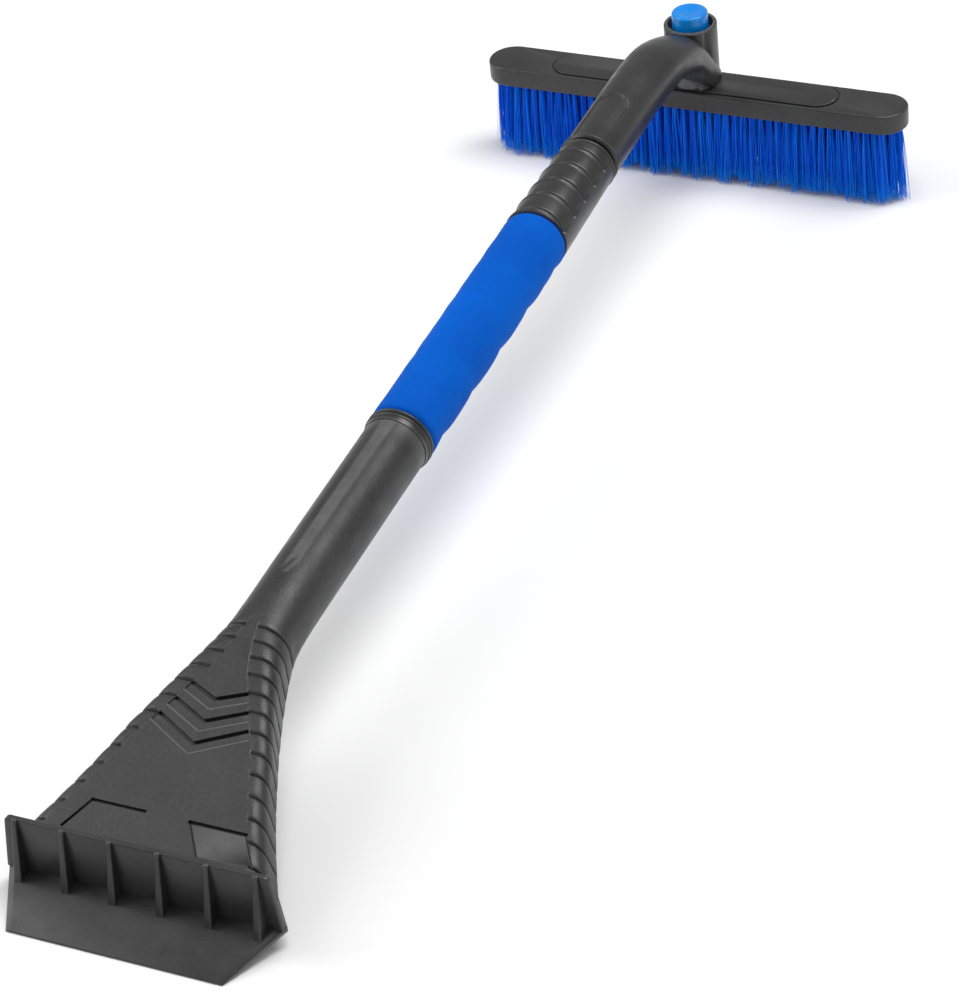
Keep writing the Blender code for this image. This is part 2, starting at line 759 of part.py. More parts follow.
def make_neck_arm(frame):
    stations = 20
    runs = [neck_length() * index / stations for index in range(stations + 1)]
    arm = loft("neck_arm", [neck_section(run) for run in runs])
    foot = PLATE_TOP + PANEL_RISE + GAP
    below_foot = box("below_foot", (-0.030, -0.030, 0.030), (0.030, 0.030, foot))
    arm = cut(arm, below_foot)
    post = cylinder("post", POST_RADIUS, foot, POST_TOP, None, 56)
    spigot = cylinder(
        "spigot", CORE_RADIUS, ARM_END - 0.004, ARM_END + SPIGOT_LENGTH, handle_frame(0.0), 40
    )
    arm = join(arm, post, spigot)
    hub_bore = cylinder("hub_bore", CUP_RADIUS, 0.040, POST_FLOOR_BOTTOM, None, 56)
    cup_bore = cylinder("cup_bore", CUP_RADIUS, POST_FLOOR_TOP, 0.120, None, 56)
    journal = cylinder("journal_bore", JOURNAL_RADIUS + GAP, 0.060, 0.080, None, 40)
    window = cylinder("window", WINDOW_HALF_WIDTH, -0.020, 0.040, window_place(foot), 48)
    arm = cut(arm, hub_bore, cup_bore, journal, window)
    return finish_part(arm, MATERIALS["plastic"], frame)


def make_button_retainer(frame):
    """Snap ring in the cup that keeps the button's flange from coming out."""
    inner = BUTTON_RADIUS + 0.00035
    part = ring("button_retainer", inner, CUP_RADIUS - GAP, RETAINER_BOTTOM, RETAINER_TOP)
    return finish_part(part, MATERIALS["plastic"], frame)


# ---------------------------------------------------------------- button and lock
def make_release_button(frame):
    """Dished push button with a retaining flange at its foot."""
    top = BUTTON_TOP
    edge = 0.0014
    profile = [
        (0.0, top - 0.0014),
        (0.0030, top - 0.0012),
        (0.0055, top - 0.0006),
        (0.0072, top),
    ]
    profile += arc_points((BUTTON_RADIUS - edge, top - edge), edge, 90.0, 0.0, 4)
    profile += [
        (BUTTON_RADIUS, FLANGE_TOP),
        (CUP_RADIUS - GAP, FLANGE_TOP),
        (CUP_RADIUS - GAP, FLANGE_BOTTOM),
        (0.0, FLANGE_BOTTOM),
    ]
    return finish_part(turned("release_button", profile), MATERIALS["button"], frame)


def make_lock_plunger(frame):
    """Toothed disc under the button that keys the head to the arm."""
    teeth = 12
    root = 0.0104
    tip = CUP_RADIUS - 0.0004
    points = []
    for tooth in range(teeth):
        for share, radius in ((0.0, root), (0.28, root), (0.42, tip), (0.86, tip)):
            angle = 2.0 * math.pi * (tooth + share) / teeth
            points.append((radius * math.cos(angle), radius * math.sin(angle)))
    middle = Matrix.Translation((0.0, 0.0, (PLUNGER_BOTTOM + PLUNGER_TOP) / 2.0))
    plunger = flat_outline("lock_plunger", points, PLUNGER_TOP - PLUNGER_BOTTOM, middle)
    well = cylinder("well", 0.0041, PLUNGER_BOTTOM - 0.001, PLUNGER_TOP - 0.001, None, 32)
    return finish_part(cut(plunger, well), MATERIALS["nylon"], frame)


def make_button_spring(frame):
    """Plain ring of the return spring's outer size; it shortens as the button goes in."""
    spring = ring("button_spring", 0.0044, 0.0062, WASHER_TOP + GAP, SPRING_TOP, None, 32)
    return finish_part(spring, MATERIALS["steel"], frame)


# ---------------------------------------------------------------- brush head
HUB_RADIUS = 0.0123
HUB_SCREW_X = 0.0078
HUB_SCREW_BOTTOM = 0.0520
PIVOT_RADIUS = 0.0020


def make_brush_plate(frame):
    bottom = PLATE_TOP - PLATE_HEIGHT
    middle = Matrix.Translation((0.0, 0.0, PLATE_TOP - PLATE_HEIGHT / 2.0))
    plate = flat_outline("brush_plate", stadium(PLATE_LENGTH, PLATE_WIDTH), PLATE_HEIGHT, middle)
    plate = as_mesh(bevel(plate, 0.0012, 2, 60.0))
    raised = Matrix.Translation((0.0, 0.0, PLATE_TOP + PANEL_RISE / 2.0 - 0.0005))
    panel = flat_outline("panel", stadium(PANEL_LENGTH, PANEL_WIDTH), PANEL_RISE + 0.001, raised)
    plate = join(plate, panel)
    inner_length = PLATE_LENGTH - 2.0 * PLATE_WALL
    inner_width = PLATE_WIDTH - 2.0 * PLATE_WALL
    depth = PLATE_HEIGHT - PLATE_WALL
    hollow_place = Matrix.Translation((0.0, 0.0, bottom + depth / 2.0 - 0.001))
    hollow = flat_outline("hollow", stadium(inner_length, inner_width), depth + 0.002, hollow_place)
    plate = cut(plate, hollow)
    for x in (-HUB_SCREW_X, HUB_SCREW_X):
        spot = Matrix.Translation((x, 0.0, 0.0))
        plate = cut(plate, screw_hole(HUB_SCREW[2], 0.050, 0.062, spot))
    return finish_part(plate, MATERIALS["plastic"], frame)


def make_swivel_hub(frame):
    """Turns in the post's lower bore; its journal passes through the post's floor."""
    foot = PLATE_TOP + PANEL_RISE + GAP
    profile = [
        (0.0, POST_FLOOR_TOP + 0.0005),
        (JOURNAL_RADIUS, POST_FLOOR_TOP + 0.0005),
        (JOURNAL_RADIUS, POST_FLOOR_BOTTOM - GAP),
        (HUB_RADIUS - 0.0006, POST_FLOOR_BOTTOM - GAP),
        (HUB_RADIUS, POST_FLOOR_BOTTOM - 0.0010),
        (HUB_RADIUS, foot),
        (0.0, foot),
    ]
    hub = turned("swivel_hub", profile)
    hub = cut(hub, screw_hole(PIVOT_RADIUS, 0.0615, 0.080, None))
    for label, x in (("left", -HUB_SCREW_X), ("right", HUB_SCREW_X)):
        hub = cut(hub, screw_hole(HUB_SCREW[2], 0.050, 0.0635, Matrix.Translation((x, 0.0, 0.0))))
        spot = Matrix.Translation((x, 0.0, HUB_SCREW_BOTTOM))
        underside_screw(f"hub_screw_{label}", spot, HUB_SCREW, frame)
    finish_part(hub, MATERIALS["plastic"], frame)


def make_pivot(frame):
    """The washer and screw that hold the hub up against the post's floor."""
    washer = ring("pivot_washer", PIVOT_RADIUS + GAP, 0.0105, WASHER_BOTTOM, WASHER_TOP, None, 40)
    finish_part(washer, MATERIALS["steel"], frame)
    seat = WASHER_TOP + GAP
    profile = [
        (0.0, seat + 0.0018),
        (0.0030, seat + 0.0018),
        (0.0036, seat + 0.0012),
        (0.0036, seat),
        (PIVOT_RADIUS, seat),
        (PIVOT_RADIUS, 0.0620),
        (0.0, 0.0620),
    ]
    screw = turned("pivot_screw", profile, None, 24)
    finish_part(screw, MATERIALS["steel"], frame)


ROW_COUNT = 5
ROW_PITCH = 0.0043
BLOCK_BOTTOM = 0.0460
BLOCK_TOP = 0.0515


def make_bristles(frame):
    """The block that holds the tufts, and one closed solid for each row of bristles."""
    block_length = PLATE_LENGTH - 2.0 * PLATE_WALL - 2.0 * GAP
    block_width = PLATE_WIDTH - 2.0 * PLATE_WALL - 2.0 * GAP
    outline = stadium(block_length, block_width)
    place = Matrix.Translation((0.0, 0.0, (BLOCK_BOTTOM + BLOCK_TOP) / 2.0))
    block = flat_outline("bristle_block", outline, BLOCK_TOP - BLOCK_BOTTOM, place)
    finish_part(block, MATERIALS["plastic"], frame)
    end_radius = block_width / 2.0
    reach = (block_length - block_width) / 2.0
    half_width = ROW_PITCH / 2.0 - GAP
    for number in range(ROW_COUNT):
        y = (number - (ROW_COUNT - 1) / 2.0) * ROW_PITCH
        half_length = reach + math.sqrt(end_radius**2 - (abs(y) + half_width) ** 2)
        low = (-half_length, y - half_width, 0.0)
        high = (half_length, y + half_width, BLOCK_BOTTOM - GAP)
        finish_part(box(f"bristle_row_{number + 1}", low, high), MATERIALS["bristle"], frame)


# ---------------------------------------------------------------- assembly
clear_scene()
PARTS = new_collection("snow_brush_scraper")
CUTTERS = new_collection("cutters")
MATERIALS = {
    "plastic": new_material("plastic", PLASTIC, 0.45),
    "foam": new_material("foam", FOAM_BLUE, 0.85),
    "bristle": new_material("bristle", BRISTLE_BLUE, 0.45),
    "button": new_material("button", BUTTON_BLUE, 0.30),
    "steel": new_material("steel", STEEL, 0.35, 1.0),
    "aluminium": new_material("aluminium", ALUMINIUM, 0.40, 1.0),
    "nylon": new_material("nylon", NYLON, 0.50),
    "rubber": new_material("rubber", RUBBER, 0.70),
}

handle_root = new_empty("handle_frame", handle_point(HEAD_START))
arm_slide = new_empty("arm_slide_frame", handle_point(ARM_END), handle_root)
button_slide = new_empty("button_slide_frame", (0.0, 0.0, POST_TOP), arm_slide)
head_swivel = new_empty("head_swivel_frame", (0.0, 0.0, PLATE_TOP), arm_slide)

make_scraper_head(handle_root)
make_back_cover(handle_root)
make_ice_blade(handle_root)
make_handle_tube(handle_root)
make_foam_grip(handle_root)
make_grip_end_ring(handle_root)
make_ribbed_collar(handle_root)
make_joint_ring(handle_root)
make_neck_arm(arm_slide)
make_button_retainer(arm_slide)
make_release_button(button_slide)
make_lock_plunger(button_slide)
make_button_spring(button_slide)
make_brush_plate(head_swivel)
make_swivel_hub(head_swivel)
make_pivot(head_swivel)
make_bristles(head_swivel)
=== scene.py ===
import json
import math
import random
from collections import namedtuple

import bmesh
import bpy
import numpy as np
from mathutils import Matrix, Vector


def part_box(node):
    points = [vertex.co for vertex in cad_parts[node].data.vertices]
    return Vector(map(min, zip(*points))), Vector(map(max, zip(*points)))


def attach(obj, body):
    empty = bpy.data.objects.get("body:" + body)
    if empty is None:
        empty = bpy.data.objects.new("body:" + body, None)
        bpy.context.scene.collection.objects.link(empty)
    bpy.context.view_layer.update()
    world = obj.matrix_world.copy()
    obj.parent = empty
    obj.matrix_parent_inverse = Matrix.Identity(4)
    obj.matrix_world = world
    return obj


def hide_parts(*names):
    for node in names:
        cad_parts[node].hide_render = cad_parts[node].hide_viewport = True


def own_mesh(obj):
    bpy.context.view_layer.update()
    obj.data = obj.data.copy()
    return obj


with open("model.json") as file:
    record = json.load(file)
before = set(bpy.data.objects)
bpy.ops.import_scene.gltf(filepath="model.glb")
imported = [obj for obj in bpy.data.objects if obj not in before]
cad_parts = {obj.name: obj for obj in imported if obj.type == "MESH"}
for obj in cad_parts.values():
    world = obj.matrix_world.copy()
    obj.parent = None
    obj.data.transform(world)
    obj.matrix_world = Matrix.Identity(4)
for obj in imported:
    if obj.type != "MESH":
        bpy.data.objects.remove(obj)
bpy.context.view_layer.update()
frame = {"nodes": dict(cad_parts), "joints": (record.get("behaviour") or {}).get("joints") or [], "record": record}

MM = 0.001
GAP = 0.3 * MM                    # clearance between neighbouring pieces
MERGE_DISTANCE = 0.001 * MM

# ---------------- sizes read from the frame
JOINTS = {joint["name"]: joint for joint in frame["joints"]}
HANDLE_AXIS = Vector(JOINTS["arm_pull"]["axis"])     # along the handle, towards the brush
HANDLE_TILT = math.atan2(HANDLE_AXIS.z, HANDLE_AXIS.y)


def move(x=0.0, y=0.0, z=0.0):
    return Matrix.Translation((x, y, z))


def tilt(angle):
    """A turn about the X axis."""
    return Matrix.Rotation(angle, 4, "X")


def middle(node):
    low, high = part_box(node)
    return (Vector(low) + Vector(high)) / 2.0


def half_size(node):
    low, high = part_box(node)
    return (Vector(high) - Vector(low)) / 2.0


AXIS_POINT = middle("joint_ring")
HANDLE_HEIGHT = AXIS_POINT.z - AXIS_POINT.y * math.tan(HANDLE_TILT)


def stretch(node):
    """Start and end of a turned piece on the handle axis, as distances from the post."""
    half = half_size(node)
    reach = (half.y - half.x * math.sin(HANDLE_TILT)) / math.cos(HANDLE_TILT)
    centre = -middle(node).y / math.cos(HANDLE_TILT)
    return centre - reach, centre + reach


def handle_point(distance):
    """A point on the handle axis, by its distance from the post's axis."""
    return Vector((0.0, 0.0, HANDLE_HEIGHT)) - HANDLE_AXIS * distance


def handle_frame(distance=0.0):
    """Local +Z runs along the handle to the scraper and local +Y points up."""
    return move(*handle_point(distance)) @ tilt(math.radians(90.0) + HANDLE_TILT)


PLATE_TOP = JOINTS["head_swivel"]["pos_m"][2]
PLATE_LOW, PLATE_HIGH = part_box("brush_plate")
PANEL_RISE = PLATE_HIGH[2] - PLATE_TOP
GRIP_START, GRIP_END = stretch("foam_grip")
FOAM_RADIUS = half_size("foam_grip").x
COLLAR_START = stretch("joint_ring")[1] + GAP
COLLAR_END = GRIP_START - GAP
COLLAR_RADIUS = 15.5 * MM         # at the joint; the collar widens to the foam
COLLAR_END_RADIUS = half_size("ribbed_collar").x
RING_START, RING_END = stretch("grip_end_ring")
RING_RADIUS = half_size("grip_end_ring").x
CORE_RADIUS = half_size("handle_tube").x
CORE_END = stretch("handle_tube")[1]
HEAD_START = RING_END + GAP
ARM_END = stretch("joint_ring")[0] - GAP


# ---------------- mesh helpers
def smooth_step(low, high, value):
    share = np.clip((value - low) / (high - low), 0.0, 1.0)
    return share * share * (3.0 - 2.0 * share)


def bell(distance, width):
    """1 at no distance, and next to nothing beyond two widths."""
    return np.exp(-((distance / width) ** 2))


def add_object(name, data):
    thing = bpy.data.objects.new(name, data)
    bpy.context.scene.collection.objects.link(thing)
    return thing


def new_piece(name, vertices, faces, sharp_angle=32.0):
    mesh = bpy.data.meshes.new(name)
    mesh.from_pydata([tuple(vertex) for vertex in vertices], [], faces)
    mesh.validate()
    piece = add_object(name, mesh)
    shade(piece, sharp_angle)
    return piece


def shade(piece, sharp_angle=32.0):
    piece.data.shade_smooth()
    piece.data.set_sharp_from_angle(angle=math.radians(sharp_angle))


def tube_faces(rings, count, closed_ends=True, loop=False):
    """Quads between rings of equal point counts, with a face over each open end."""
    faces = []
    last = rings if loop else rings - 1
    for ring in range(last):
        for point in range(count):
            after = (point + 1) % count
            here = ring * count
            there = ((ring + 1) % rings) * count
            faces.append((here + point, here + after, there + after, there + point))
    if closed_ends and not loop:
        faces.append(tuple(reversed(range(count))))
        faces.append(tuple(range((rings - 1) * count, rings * count)))
    return faces


def outward(piece, merge=False):
    """Turn all faces outward, then merge the points that lie on one spot if asked."""
    work = bmesh.new()
    work.from_mesh(piece.data)
    bmesh.ops.recalc_face_normals(work, faces=work.faces)
    if merge:
        bmesh.ops.remove_doubles(work, verts=work.verts, dist=MERGE_DISTANCE)
    work.to_mesh(piece.data)
    work.free()
    return piece


def skin(name, sections, sharp_angle=32.0):
    """A closed skin over a list of sections that all have the same number of points."""
    vertices = [point for section in sections for point in section]
    faces = tube_faces(len(sections), len(sections[0]))
    return outward(new_piece(name, vertices, faces, sharp_angle))


def turned(name, profile, place=None, steps=96, dent=None, sharp_angle=32.0):
    """Turn a closed outline of (radius, height) about local Z.

    dent(angle, height) is how far the surface sinks there; the angle is 0 on local +Y.
    """
    vertices = []
    for radius, height in profile:
        for step in range(steps):
            angle = 2.0 * math.pi * step / steps
            away = radius
            if dent is not None and radius > CORE_RADIUS + 1.0 * MM:
                away = radius - dent(angle, height)
            vertices.append(Vector((away * math.sin(angle), away * math.cos(angle), height)))
    faces = tube_faces(len(profile), steps, loop=profile[0][0] > 0.0)
    piece = outward(new_piece(name, vertices, faces, sharp_angle), merge=True)
    shade(piece, sharp_angle)
    if place is not None:
        piece.data.transform(place)
    return piece


def arc(centre, radius, start, end, count):
    """Points on an arc between two angles in degrees, both ends included."""
    return [(centre[0] + radius * math.cos(angle), centre[1] + radius * math.sin(angle))
            for angle in np.radians(np.linspace(start, end, count))]


def prism(name, outline, low, high, place=None):
    """A flat outline in local XY made solid between two heights."""
    piece = skin(name, [[Vector((x, y, z)) for x, y in outline] for z in (low, high)])
    if place is not None:
        piece.data.transform(place)
    return piece


def circle(radius, count):
    return arc((0.0, 0.0), radius, 0.0, 360.0 * (count - 1) / count, count)


def cylinder(name, radius, low, high, place=None, steps=64):
    return prism(name, circle(radius, steps), low, high, place)


def block(name, low, high):
    outline = [(low[0], low[1]), (high[0], low[1]), (high[0], high[1]), (low[0], high[1])]
    return prism(name, outline, low[2], high[2])


def stadium(length, width, count=33):
    reach = (length - width) / 2.0
    right = arc((reach, 0.0), width / 2.0, -90.0, 90.0, count)
    left = arc((-reach, 0.0), width / 2.0, 90.0, 270.0, count)
    return right + left


def apply_modifiers(piece):
    bpy.context.view_layer.update()
    graph = bpy.context.evaluated_depsgraph_get()
    mesh = bpy.data.meshes.new_from_object(piece.evaluated_get(graph))
    piece.modifiers.clear()
    piece.data = mesh
    return piece


def combine(piece, tool, operation):
    modifier = piece.modifiers.new("combine", "BOOLEAN")
    modifier.operation = operation
    modifier.solver = "EXACT"
    modifier.object = tool
    apply_modifiers(piece)
    bpy.data.objects.remove(tool, do_unlink=True)


def cut(piece, *tools):
    for tool in tools:
        combine(piece, tool, "DIFFERENCE")


def join(piece, *tools):
    for tool in tools:
        combine(piece, tool, "UNION")


def soften(piece, width, segments=3, angle=35.0):
    """Round off the sharp edges."""
    modifier = piece.modifiers.new("edges", "BEVEL")
    modifier.width = width
    modifier.segments = segments
    modifier.limit_method = "ANGLE"
    modifier.angle_limit = math.radians(angle)
    modifier.use_clamp_overlap = True
    return apply_modifiers(piece)


def stand_for(piece, body, slot, *nodes, material=None):
    """Give the piece its slot's material, ride it on a body and let it stand for CAD nodes."""
    piece.data.materials.clear()
    piece.data.materials.append(material or SLOT_MATERIALS[slot])
    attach(piece, body)
    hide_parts(*nodes)


# ---------------- materials
class Shader:
    """A Principled material with short helpers for its procedural nodes."""

    def __init__(self, name, roughness, metallic=0.0, specular=0.5):
        self.material = bpy.data.materials.new(name)
        self.material.use_nodes = True
        self.tree = self.material.node_tree
        self.surface = self.tree.nodes["Principled BSDF"]
        self.surface.inputs["Roughness"].default_value = roughness
        self.surface.inputs["Metallic"].default_value = metallic
        self.surface.inputs["Specular IOR Level"].default_value = specular
        self.place = self.tree.nodes.new("ShaderNodeTexCoord").outputs["Object"]
        self.bumps = None

    def node(self, kind, settings, **links):
        """A new node with some input values, and with sources linked to its inputs."""
        node = self.tree.nodes.new(kind)
        for socket, value in settings.items():
            node.inputs[socket].default_value = value
        for socket, source in links.items():
            self.link(source, node.inputs[socket])
        return node

    def link(self, source, target):
        self.tree.links.new(source, target)

    def stretched(self, scale):
        return self.node("ShaderNodeMapping", {"Scale": scale}, Vector=self.place).outputs["Vector"]

    def noise(self, scale, detail=3.0, roughness=0.5, place=None):
        settings = {"Scale": scale, "Detail": detail, "Roughness": roughness}
        return self.node("ShaderNodeTexNoise", settings, Vector=place or self.place).outputs["Fac"]

    def cells(self, scale):
        node = self.node("ShaderNodeTexVoronoi", {"Scale": scale}, Vector=self.place)
        return node.outputs["Distance"]

    def ramp(self, source, *stops):
        node = self.tree.nodes.new("ShaderNodeValToRGB")
        elements = node.color_ramp.elements
        while len(elements) < len(stops):
            elements.new(0.5)
        for element, (position, colour) in zip(elements, stops):
            element.position = position
            element.color = (*colour, 1.0)
        self.link(source, node.inputs["Fac"])
        return node.outputs["Color"]

    def mix(self, factor, first, second):
        node = self.tree.nodes.new("ShaderNodeMix")
        node.data_type = "RGBA"
        sockets = [node.inputs[0], node.inputs[6], node.inputs[7]]
        for socket, value in zip(sockets, (factor, first, second)):
            if isinstance(value, bpy.types.NodeSocket):
                self.link(value, socket)
            elif isinstance(value, tuple):
                socket.default_value = (*value, 1.0)
            else:
                socket.default_value = value
        return node.outputs[2]

    def spread(self, source, low, high, out_low, out_high):
        settings = {"From Min": low, "From Max": high, "To Min": out_low, "To Max": out_high}
        return self.node("ShaderNodeMapRange", settings, Value=source).outputs["Result"]

    def bump(self, height, strength, distance):
        settings = {"Strength": strength, "Distance": distance}
        node = self.node("ShaderNodeBump", settings, Height=height)
        if self.bumps is not None:
            self.link(self.bumps, node.inputs["Normal"])
        self.bumps = node.outputs["Normal"]
        self.link(self.bumps, self.surface.inputs["Normal"])

    def colour(self, source):
        self.link(source, self.surface.inputs["Base Color"])

    def roughness(self, source, low, high, start=0.3, end=0.7):
        """Let the roughness follow a source between two of its values."""
        self.link(self.spread(source, start, end, low, high), self.surface.inputs["Roughness"])

    def edge_wear_and_glint_mask(self):
        # Mask of the sharp edges, which are painted paler: partly wear, partly a painted highlight standing in for
        # edge glints.
        geometry = self.tree.nodes.new("ShaderNodeNewGeometry")
        return self.spread(geometry.outputs["Pointiness"], 0.52, 0.60, 0.0, 1.0)


BLACK = (0.014, 0.014, 0.0145)
CHARCOAL = (0.034, 0.034, 0.035)
EDGE_WEAR_AND_GLINT_BRIGHTNESS = 4.2             # of a pale edge, partly wear and partly a painted highlight (glint), against charcoal


def moulded_plastic(name, grain, grain_height, roughness):
    """Black moulded plastic: fine spark-eroded grain, faint clouding, paler edges that are partly wear and partly
    a painted highlight (glints).
    """
    shader = Shader(name, roughness)
    clouds = shader.ramp(shader.noise(28.0, 4.0), (0.35, BLACK), (0.70, CHARCOAL))
    flecks = shader.ramp(shader.noise(grain * 0.8, 2.0), (0.40, BLACK), (0.72, CHARCOAL))
    body = shader.mix(0.45, clouds, flecks)
    scuffs = shader.noise(60.0, 6.0, 0.7)
    # Paler sharp edges broken up by scuff noise: partly wear, partly a painted highlight (glints).
    wear_and_glint = shader.tree.nodes.new("ShaderNodeMath")
    wear_and_glint.operation = "MULTIPLY"
    for source, socket in zip((shader.edge_wear_and_glint_mask(), scuffs), wear_and_glint.inputs):
        shader.link(source, socket)
    shader.colour(shader.mix(wear_and_glint.outputs[0], body, tuple(EDGE_WEAR_AND_GLINT_BRIGHTNESS * part for part in CHARCOAL)))
    shader.roughness(shader.noise(90.0, 4.0), roughness - 0.06, roughness + 0.08)
    shader.bump(shader.noise(grain, 3.0, 0.6), 0.55, grain_height)
    shader.bump(shader.noise(45.0, 2.0), 0.25, 0.15 * MM)
    return shader.material


def soft_foam():
    """Closed-cell foam: pale open pores, clouded blue, almost no gloss."""
    shader = Shader("soft_foam", 0.82, specular=0.06)
    deep = (0.0, 0.068, 0.400)
    bright = (0.0, 0.104, 0.540)
    clouds = shader.ramp(shader.noise(22.0, 5.0), (0.30, deep), (0.75, bright))
    pores = shader.spread(shader.cells(1500.0), 0.05, 0.55, 0.0, 1.0)
    shader.colour(shader.mix(0.22, clouds, shader.ramp(pores, (0.0, deep), (0.9, bright))))
    shader.roughness(pores, 0.92, 0.72, 0.0, 1.0)
    shader.surface.inputs["Sheen Weight"].default_value = 0.06
    shader.surface.inputs["Sheen Roughness"].default_value = 0.5
    shader.surface.inputs["Sheen Tint"].default_value = (0.05, 0.40, 1.0, 1.0)
    shader.bump(pores, 0.35, 0.12 * MM)
    shader.bump(shader.noise(300.0, 4.0, 0.6), 0.35, 0.20 * MM)
    return shader.material


def fibre(tip_height):
    """Drawn plastic fibre: each one a little different, paler towards its split tip."""
    shader = Shader("blue_fibre", 0.42, specular=0.12)
    geometry = shader.tree.nodes.new("ShaderNodeNewGeometry")
    own = shader.ramp(geometry.outputs["Random Per Island"], (0.0, (0.0, 0.075, 0.720)),
                      (0.55, (0.0, 0.145, 0.880)), (1.0, (0.0, 0.230, 0.970)))
    split = shader.tree.nodes.new("ShaderNodeSeparateXYZ")
    shader.link(shader.place, split.inputs["Vector"])
    tip = shader.spread(split.outputs["Z"], tip_height, 0.0, 0.0, 0.85)
    shader.colour(shader.mix(tip, own, (0.002, 0.270, 0.860)))
    shader.roughness(shader.noise(800.0), 0.30, 0.48)
    shader.bump(shader.noise(2500.0, 1.0, 0.5, shader.stretched((1.0, 1.0, 0.05))), 0.3, 0.03 * MM)
    return shader.material


def glossy_button():
    shader = Shader("glossy_button", 0.22, specular=0.35)
    shader.surface.inputs["Coat Weight"].default_value = 0.15
    shader.surface.inputs["Coat Roughness"].default_value = 0.12
    shader.colour(shader.ramp(shader.noise(55.0, 4.0), (0.30, (0.0, 0.165, 0.570)),
                              (0.75, (0.0, 0.250, 0.730))))
    shader.roughness(shader.noise(420.0, 5.0), 0.16, 0.34, 0.35)
    shader.bump(shader.noise(260.0, 3.0), 0.12, 0.05 * MM)
    return shader.material


def bare_metal(name, dark, light, roughness, scale):
    shader = Shader(name, roughness, metallic=1.0)
    streaks = shader.noise(60.0, 6.0, 0.7, shader.stretched(scale))
    shader.colour(shader.ramp(streaks, (0.3, dark), (0.7, light)))
    shader.roughness(streaks, roughness - 0.08, roughness + 0.10)
    shader.bump(streaks, 0.15, 0.03 * MM)
    return shader.material


def plain_polymer(name, dark, light, roughness):
    shader = Shader(name, roughness)
    shader.colour(shader.ramp(shader.noise(80.0, 5.0), (0.3, dark), (0.7, light)))
    shader.roughness(shader.noise(300.0), roughness - 0.05, roughness + 0.1)
    shader.bump(shader.noise(900.0, 3.0), 0.3, 0.05 * MM)
    return shader.material


def pale_floor():
    shader = Shader("pale_floor", 0.9, specular=0.1)
    shader.colour(shader.ramp(shader.noise(3.0), (0.3, (0.86, 0.86, 0.86)), (0.7, (0.88, 0.88, 0.88))))
    return shader.material


GRAINED_PLASTIC = moulded_plastic("grained_plastic", 700.0, 0.22 * MM, 0.42)
SLOT_MATERIALS = {
    "black_plastic": moulded_plastic("smooth_plastic", 1300.0, 0.06 * MM, 0.34),
    "blue_foam": soft_foam(),
    "blue_bristle": fibre(15.0 * MM),
    "blue_button": glossy_button(),
    "steel": bare_metal("plated_steel", (0.42, 0.43, 0.45), (0.62, 0.63, 0.65), 0.30, (1.0, 1.0, 6.0)),
    "aluminium": bare_metal("drawn_tube", (0.50, 0.51, 0.52), (0.70, 0.71, 0.72), 0.34, (8.0, 0.4, 8.0)),
    "nylon": plain_polymer("nylon", (0.60, 0.60, 0.55), (0.74, 0.74, 0.70), 0.45),
    "rubber": plain_polymer("rubber", (0.010, 0.010, 0.010), (0.022, 0.022, 0.023), 0.62),
}


def dress_cad_nodes():
    """Give every carried-over CAD node the material of its slot."""
    for entry in frame["record"]["subparts"]:
        node = frame["nodes"][entry["node"]]
        node.data.materials.clear()
        node.data.materials.append(SLOT_MATERIALS[entry["material_slot"]])


# ---------------- scraper head
WALL_Y = -649.8 * MM              # back face of the scraper's ridge wall
WALL_THICKNESS = 3.0 * MM
WALL_HALF_WIDTH = 64.3 * MM       # at its top; it widens to its foot
WALL_FOOT_HALF_WIDTH = 67.8 * MM
WALL_TOP = 37.0 * MM
TUBE_RADIUS = 16.1 * MM
FAN_START = 500.0 * MM            # along the handle axis
FAN_BEND_Y = -520.0 * MM
FLARE_Y = -525.0 * MM
FLARE_RUN = 127.0 * MM
FLARE_GROWTH = 53.0 * MM
DRAFT_Y = -590.0 * MM
DRAFT = 9.5 * MM
TOP_SLOPE = 0.3357
TOP_AT_BEND = 74.3 * MM
TOP_SOFTNESS = 3.0 * MM           # how softly the flat top runs into the tube
FLARE_POWER = 1.47
CORNER_RADIUS = 6.8 * MM
FLAT_POINTS = (130, 4, 24, 4)     # on the flat top, left side, underside and right side
BLADE_ROOT_Z = 10.5 * MM

FIRST_NOTCH_Y = -532.7 * MM
NOTCH_PITCH = 7.83 * MM
PITCH_GROWTH = 0.117 * MM         # each notch is this much times its number squared further
NOTCH_COUNT = 13
NOTCH_DEPTH = 1.15 * MM
NOTCH_WIDTH = 0.5 * MM
PILLOW_DEPTH = 0.24 * MM
BAND_STATIONS = (-640.0 * MM, -600.0 * MM, -555.0 * MM)
BAND_WIDTHS = (5.8 * MM, 8.2 * MM, 14.0 * MM)
BAND_BLEND = 0.6 * MM
BAND_RIM_DEPTH = 0.12 * MM
BAND_RIM_WIDTH = 0.45 * MM
CHEVRON_COUNT = 3
CHEVRON_APEX_Y = -572.4 * MM
CHEVRON_PITCH = 11.1 * MM
CHEVRON_WIDTH = 4.9 * MM
CHEVRON_DEPTH = 0.45 * MM
LINE_WIDTH = 1.5 * MM             # deep moulded line along a sunk mark
LINE_DEPTH = 1.7 * MM
BEAD_WIDTH = 0.7 * MM             # raised line along a mark's other edge
BEAD_RISE = 0.25 * MM
MARK_STEP = 0.2 * MM              # keeps the walls of nested recesses apart
MARK_Y = -630.4 * MM              # handle side of the two corner marks
MARK_FOOT_Y = -644.6 * MM
MARK_DEPTH = 0.40 * MM
OPEN_MARK = ((-40.3 * MM, -644.5 * MM), (-32.4 * MM, MARK_Y), (-6.6 * MM, MARK_Y))
CLOSED_MARK_X = (15.6 * MM, 42.4 * MM)
CLOSED_MARK_LEAN = 9.6 * MM       # its foot stands this much further out


def handle_height(y):
    return HANDLE_HEIGHT + y * math.tan(HANDLE_TILT)


